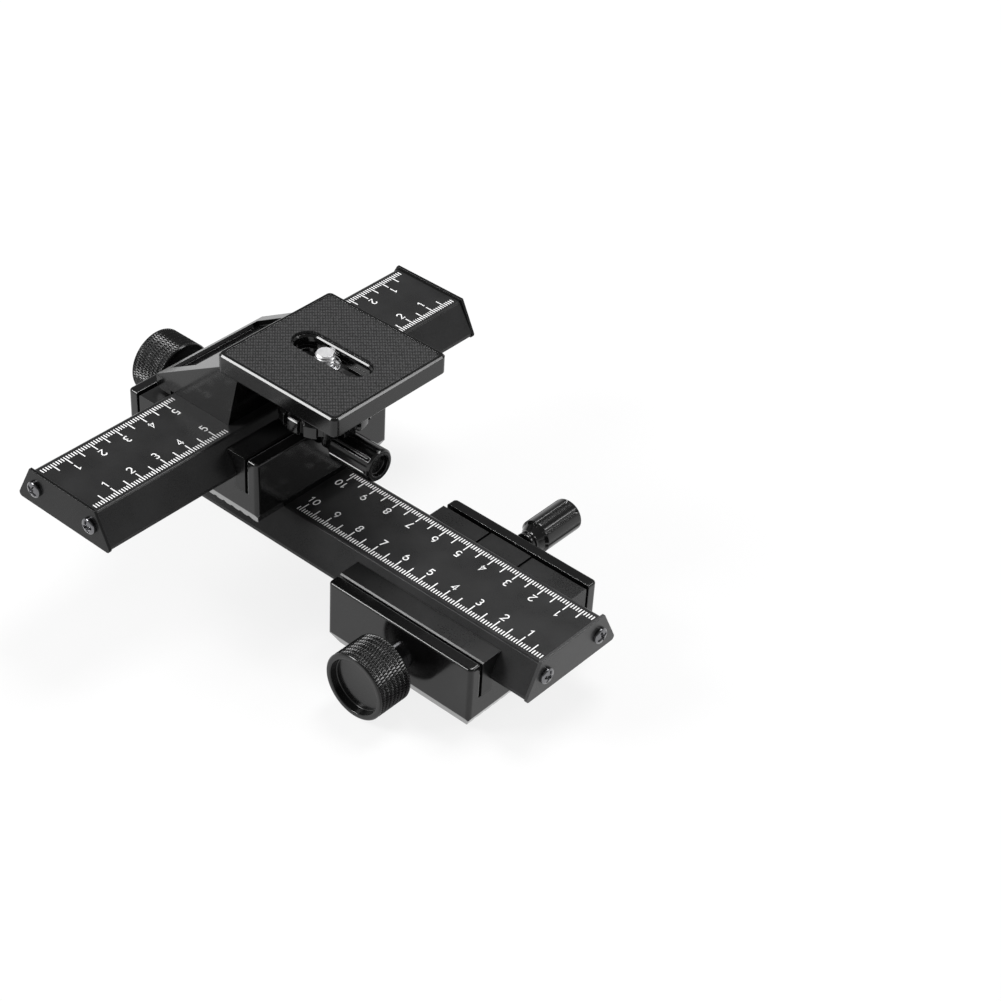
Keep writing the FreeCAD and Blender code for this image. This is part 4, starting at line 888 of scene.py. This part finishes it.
FLOOR_REACH, FLOOR_DROP = 12.0, 0.0002
FLOOR_TONE, FLOOR_GLOW = 0.82, 0.84
FILL = 0.35
DOME_BRIGHT, DOME_DIM = 1.0, 0.22
DOME_LOW, DOME_HIGH = 0.08, 0.40
LAMP_TARGET = (-0.03, 0, 0.03)
# Each lamp's name, place, size and power.
LAMPS = (
    ("back_softbox", (-0.13, 0.42, 0.95), (0.4, 0.4), 7.5),
    ("front_left_box", (-0.65, -0.69, 0.65), (0.44, 0.32), 9.0),
    ("back_right_strip", (0.6, 0.62, 0.71), (0.34, 0.15), 1.6),
)


def add_lamp(name, place, size, power):
    """A soft box that faces the object."""
    data = bpy.data.lights.new(name, "AREA")
    data.shape = "RECTANGLE"
    data.size, data.size_y = size
    data.energy = power
    lamp = bpy.data.objects.new(name, data)
    lamp.location = place
    way = Vector(LAMP_TARGET) - Vector(place)
    lamp.rotation_euler = way.to_track_quat("-Z", "Y").to_euler()
    bpy.context.scene.collection.objects.link(lamp)


def bare_graph(owner):
    """The emptied node tree of a material or a world."""
    owner.use_nodes = True
    owner.node_tree.nodes.clear()
    return Graph(owner.node_tree)


def seen_rays(graph):
    """1 for what the eye, gloss and glass see, and 0 for all other light."""
    rays = graph.node("LightPath")
    seen = graph.math("MAXIMUM", rays.outputs["Is Camera Ray"], rays.outputs["Is Glossy Ray"])
    return graph.math("MAXIMUM", seen, rays.outputs["Is Transmission Ray"])


def add_floor():
    """A pale floor that looks white to the camera and keeps a soft shadow."""
    mesh = bpy.data.meshes.new("floor")
    corners = [(-1, -1, 0), (1, -1, 0), (1, 1, 0), (-1, 1, 0)]
    mesh.from_pydata((np.array(corners) * FLOOR_REACH).tolist(), [], [(0, 1, 2, 3)])
    material = bpy.data.materials.new("pale_floor")
    graph = bare_graph(material)
    matt = graph.node("BsdfDiffuse", {"Color": (FLOOR_TONE, FLOOR_TONE, FLOOR_TONE, 1)})
    glow = graph.node("Emission", {"Color": (1, 1, 1, 1), "Strength": 1.0})
    share = graph.math("MULTIPLY", seen_rays(graph), FLOOR_GLOW)
    mix = graph.node("MixShader", {0: share, 1: matt.outputs[0], 2: glow.outputs[0]})
    graph.node("OutputMaterial", {"Surface": mix.outputs[0]})
    mesh.materials.append(material)
    floor = bpy.data.objects.new("floor", mesh)
    floor.location.z = -FLOOR_DROP
    bpy.context.scene.collection.objects.link(floor)


def add_sky():
    """A studio dome, white down to the floor and dim overhead, which the eye, gloss and glass
    see alike, and an even fill for everything else. A direction's height is its Z."""
    world = bpy.data.worlds.new("studio")
    graph = bare_graph(world)
    way = graph.node("SeparateXYZ", {"Vector": graph.node("TexCoord").outputs["Generated"]})
    dome = graph.spread(way.outputs["Z"], DOME_LOW, DOME_HIGH, DOME_BRIGHT, DOME_DIM)
    strength = graph.node("Mix", {"Factor": seen_rays(graph), "A": FILL, "B": dome},
                          data_type="FLOAT")
    sky = graph.node("Background", {"Color": (1, 1, 1, 1), "Strength": strength.outputs[0]})
    graph.node("OutputWorld", {"Surface": sky.outputs[0]})
    bpy.context.scene.world = world


# The camera: focal length in pixels of a 1001 pixel frame, the place of its axis in that
# frame, its bearing, height and roll in radians, and its shifts and distance in millimetres
# from its aim, the zero of the lower rail's scale.
FRAME_SIDE = 1001
FOCAL = 2277.576
AXIS_X, AXIS_Y = 430.0, 500.0
BEARING, ELEVATION, ROLL = -0.85865, 0.66287, 0.04388
SIDE_SHIFT, UP_SHIFT, DISTANCE = 41.39174, -41.03162, 672.88647
AIM = np.array([42.2, 0.0, 27.5])
SENSOR_WIDE = 36.0
CLIP_NEAR, CLIP_FAR = 0.01, 20


def add_camera():
    """A camera back from its aim along its own axis, then aside and up."""
    back = np.array([math.cos(ELEVATION) * math.cos(BEARING),
                     math.cos(ELEVATION) * math.sin(BEARING), math.sin(ELEVATION)])
    level = np.cross(-back, Z_AXIS)
    level /= np.linalg.norm(level)
    rise = np.cross(level, -back)
    right = math.cos(ROLL) * level + math.sin(ROLL) * rise
    up = math.cos(ROLL) * rise - math.sin(ROLL) * level
    place = -SIDE_SHIFT * right - UP_SHIFT * up + DISTANCE * back + AIM
    data = bpy.data.cameras.new("camera")
    data.sensor_width = SENSOR_WIDE
    data.lens = FOCAL * SENSOR_WIDE / FRAME_SIDE
    data.shift_x = (FRAME_SIDE / 2 - AXIS_X) / FRAME_SIDE
    data.shift_y = (AXIS_Y - FRAME_SIDE / 2) / FRAME_SIDE
    data.clip_start, data.clip_end = CLIP_NEAR, CLIP_FAR
    camera = bpy.data.objects.new("camera", data)
    camera.matrix_world = Matrix([
        [right[row], up[row], back[row], place[row] * MM] for row in range(3)] + [[0, 0, 0, 1]])
    bpy.context.scene.collection.objects.link(camera)
    bpy.context.scene.camera = camera


def add_studio():
    add_floor()
    add_sky()
    for lamp in LAMPS:
        add_lamp(*lamp)
    add_camera()
    bpy.context.scene.view_settings.view_transform = "Standard"


dress_nodes()
add_pieces()
add_studio()
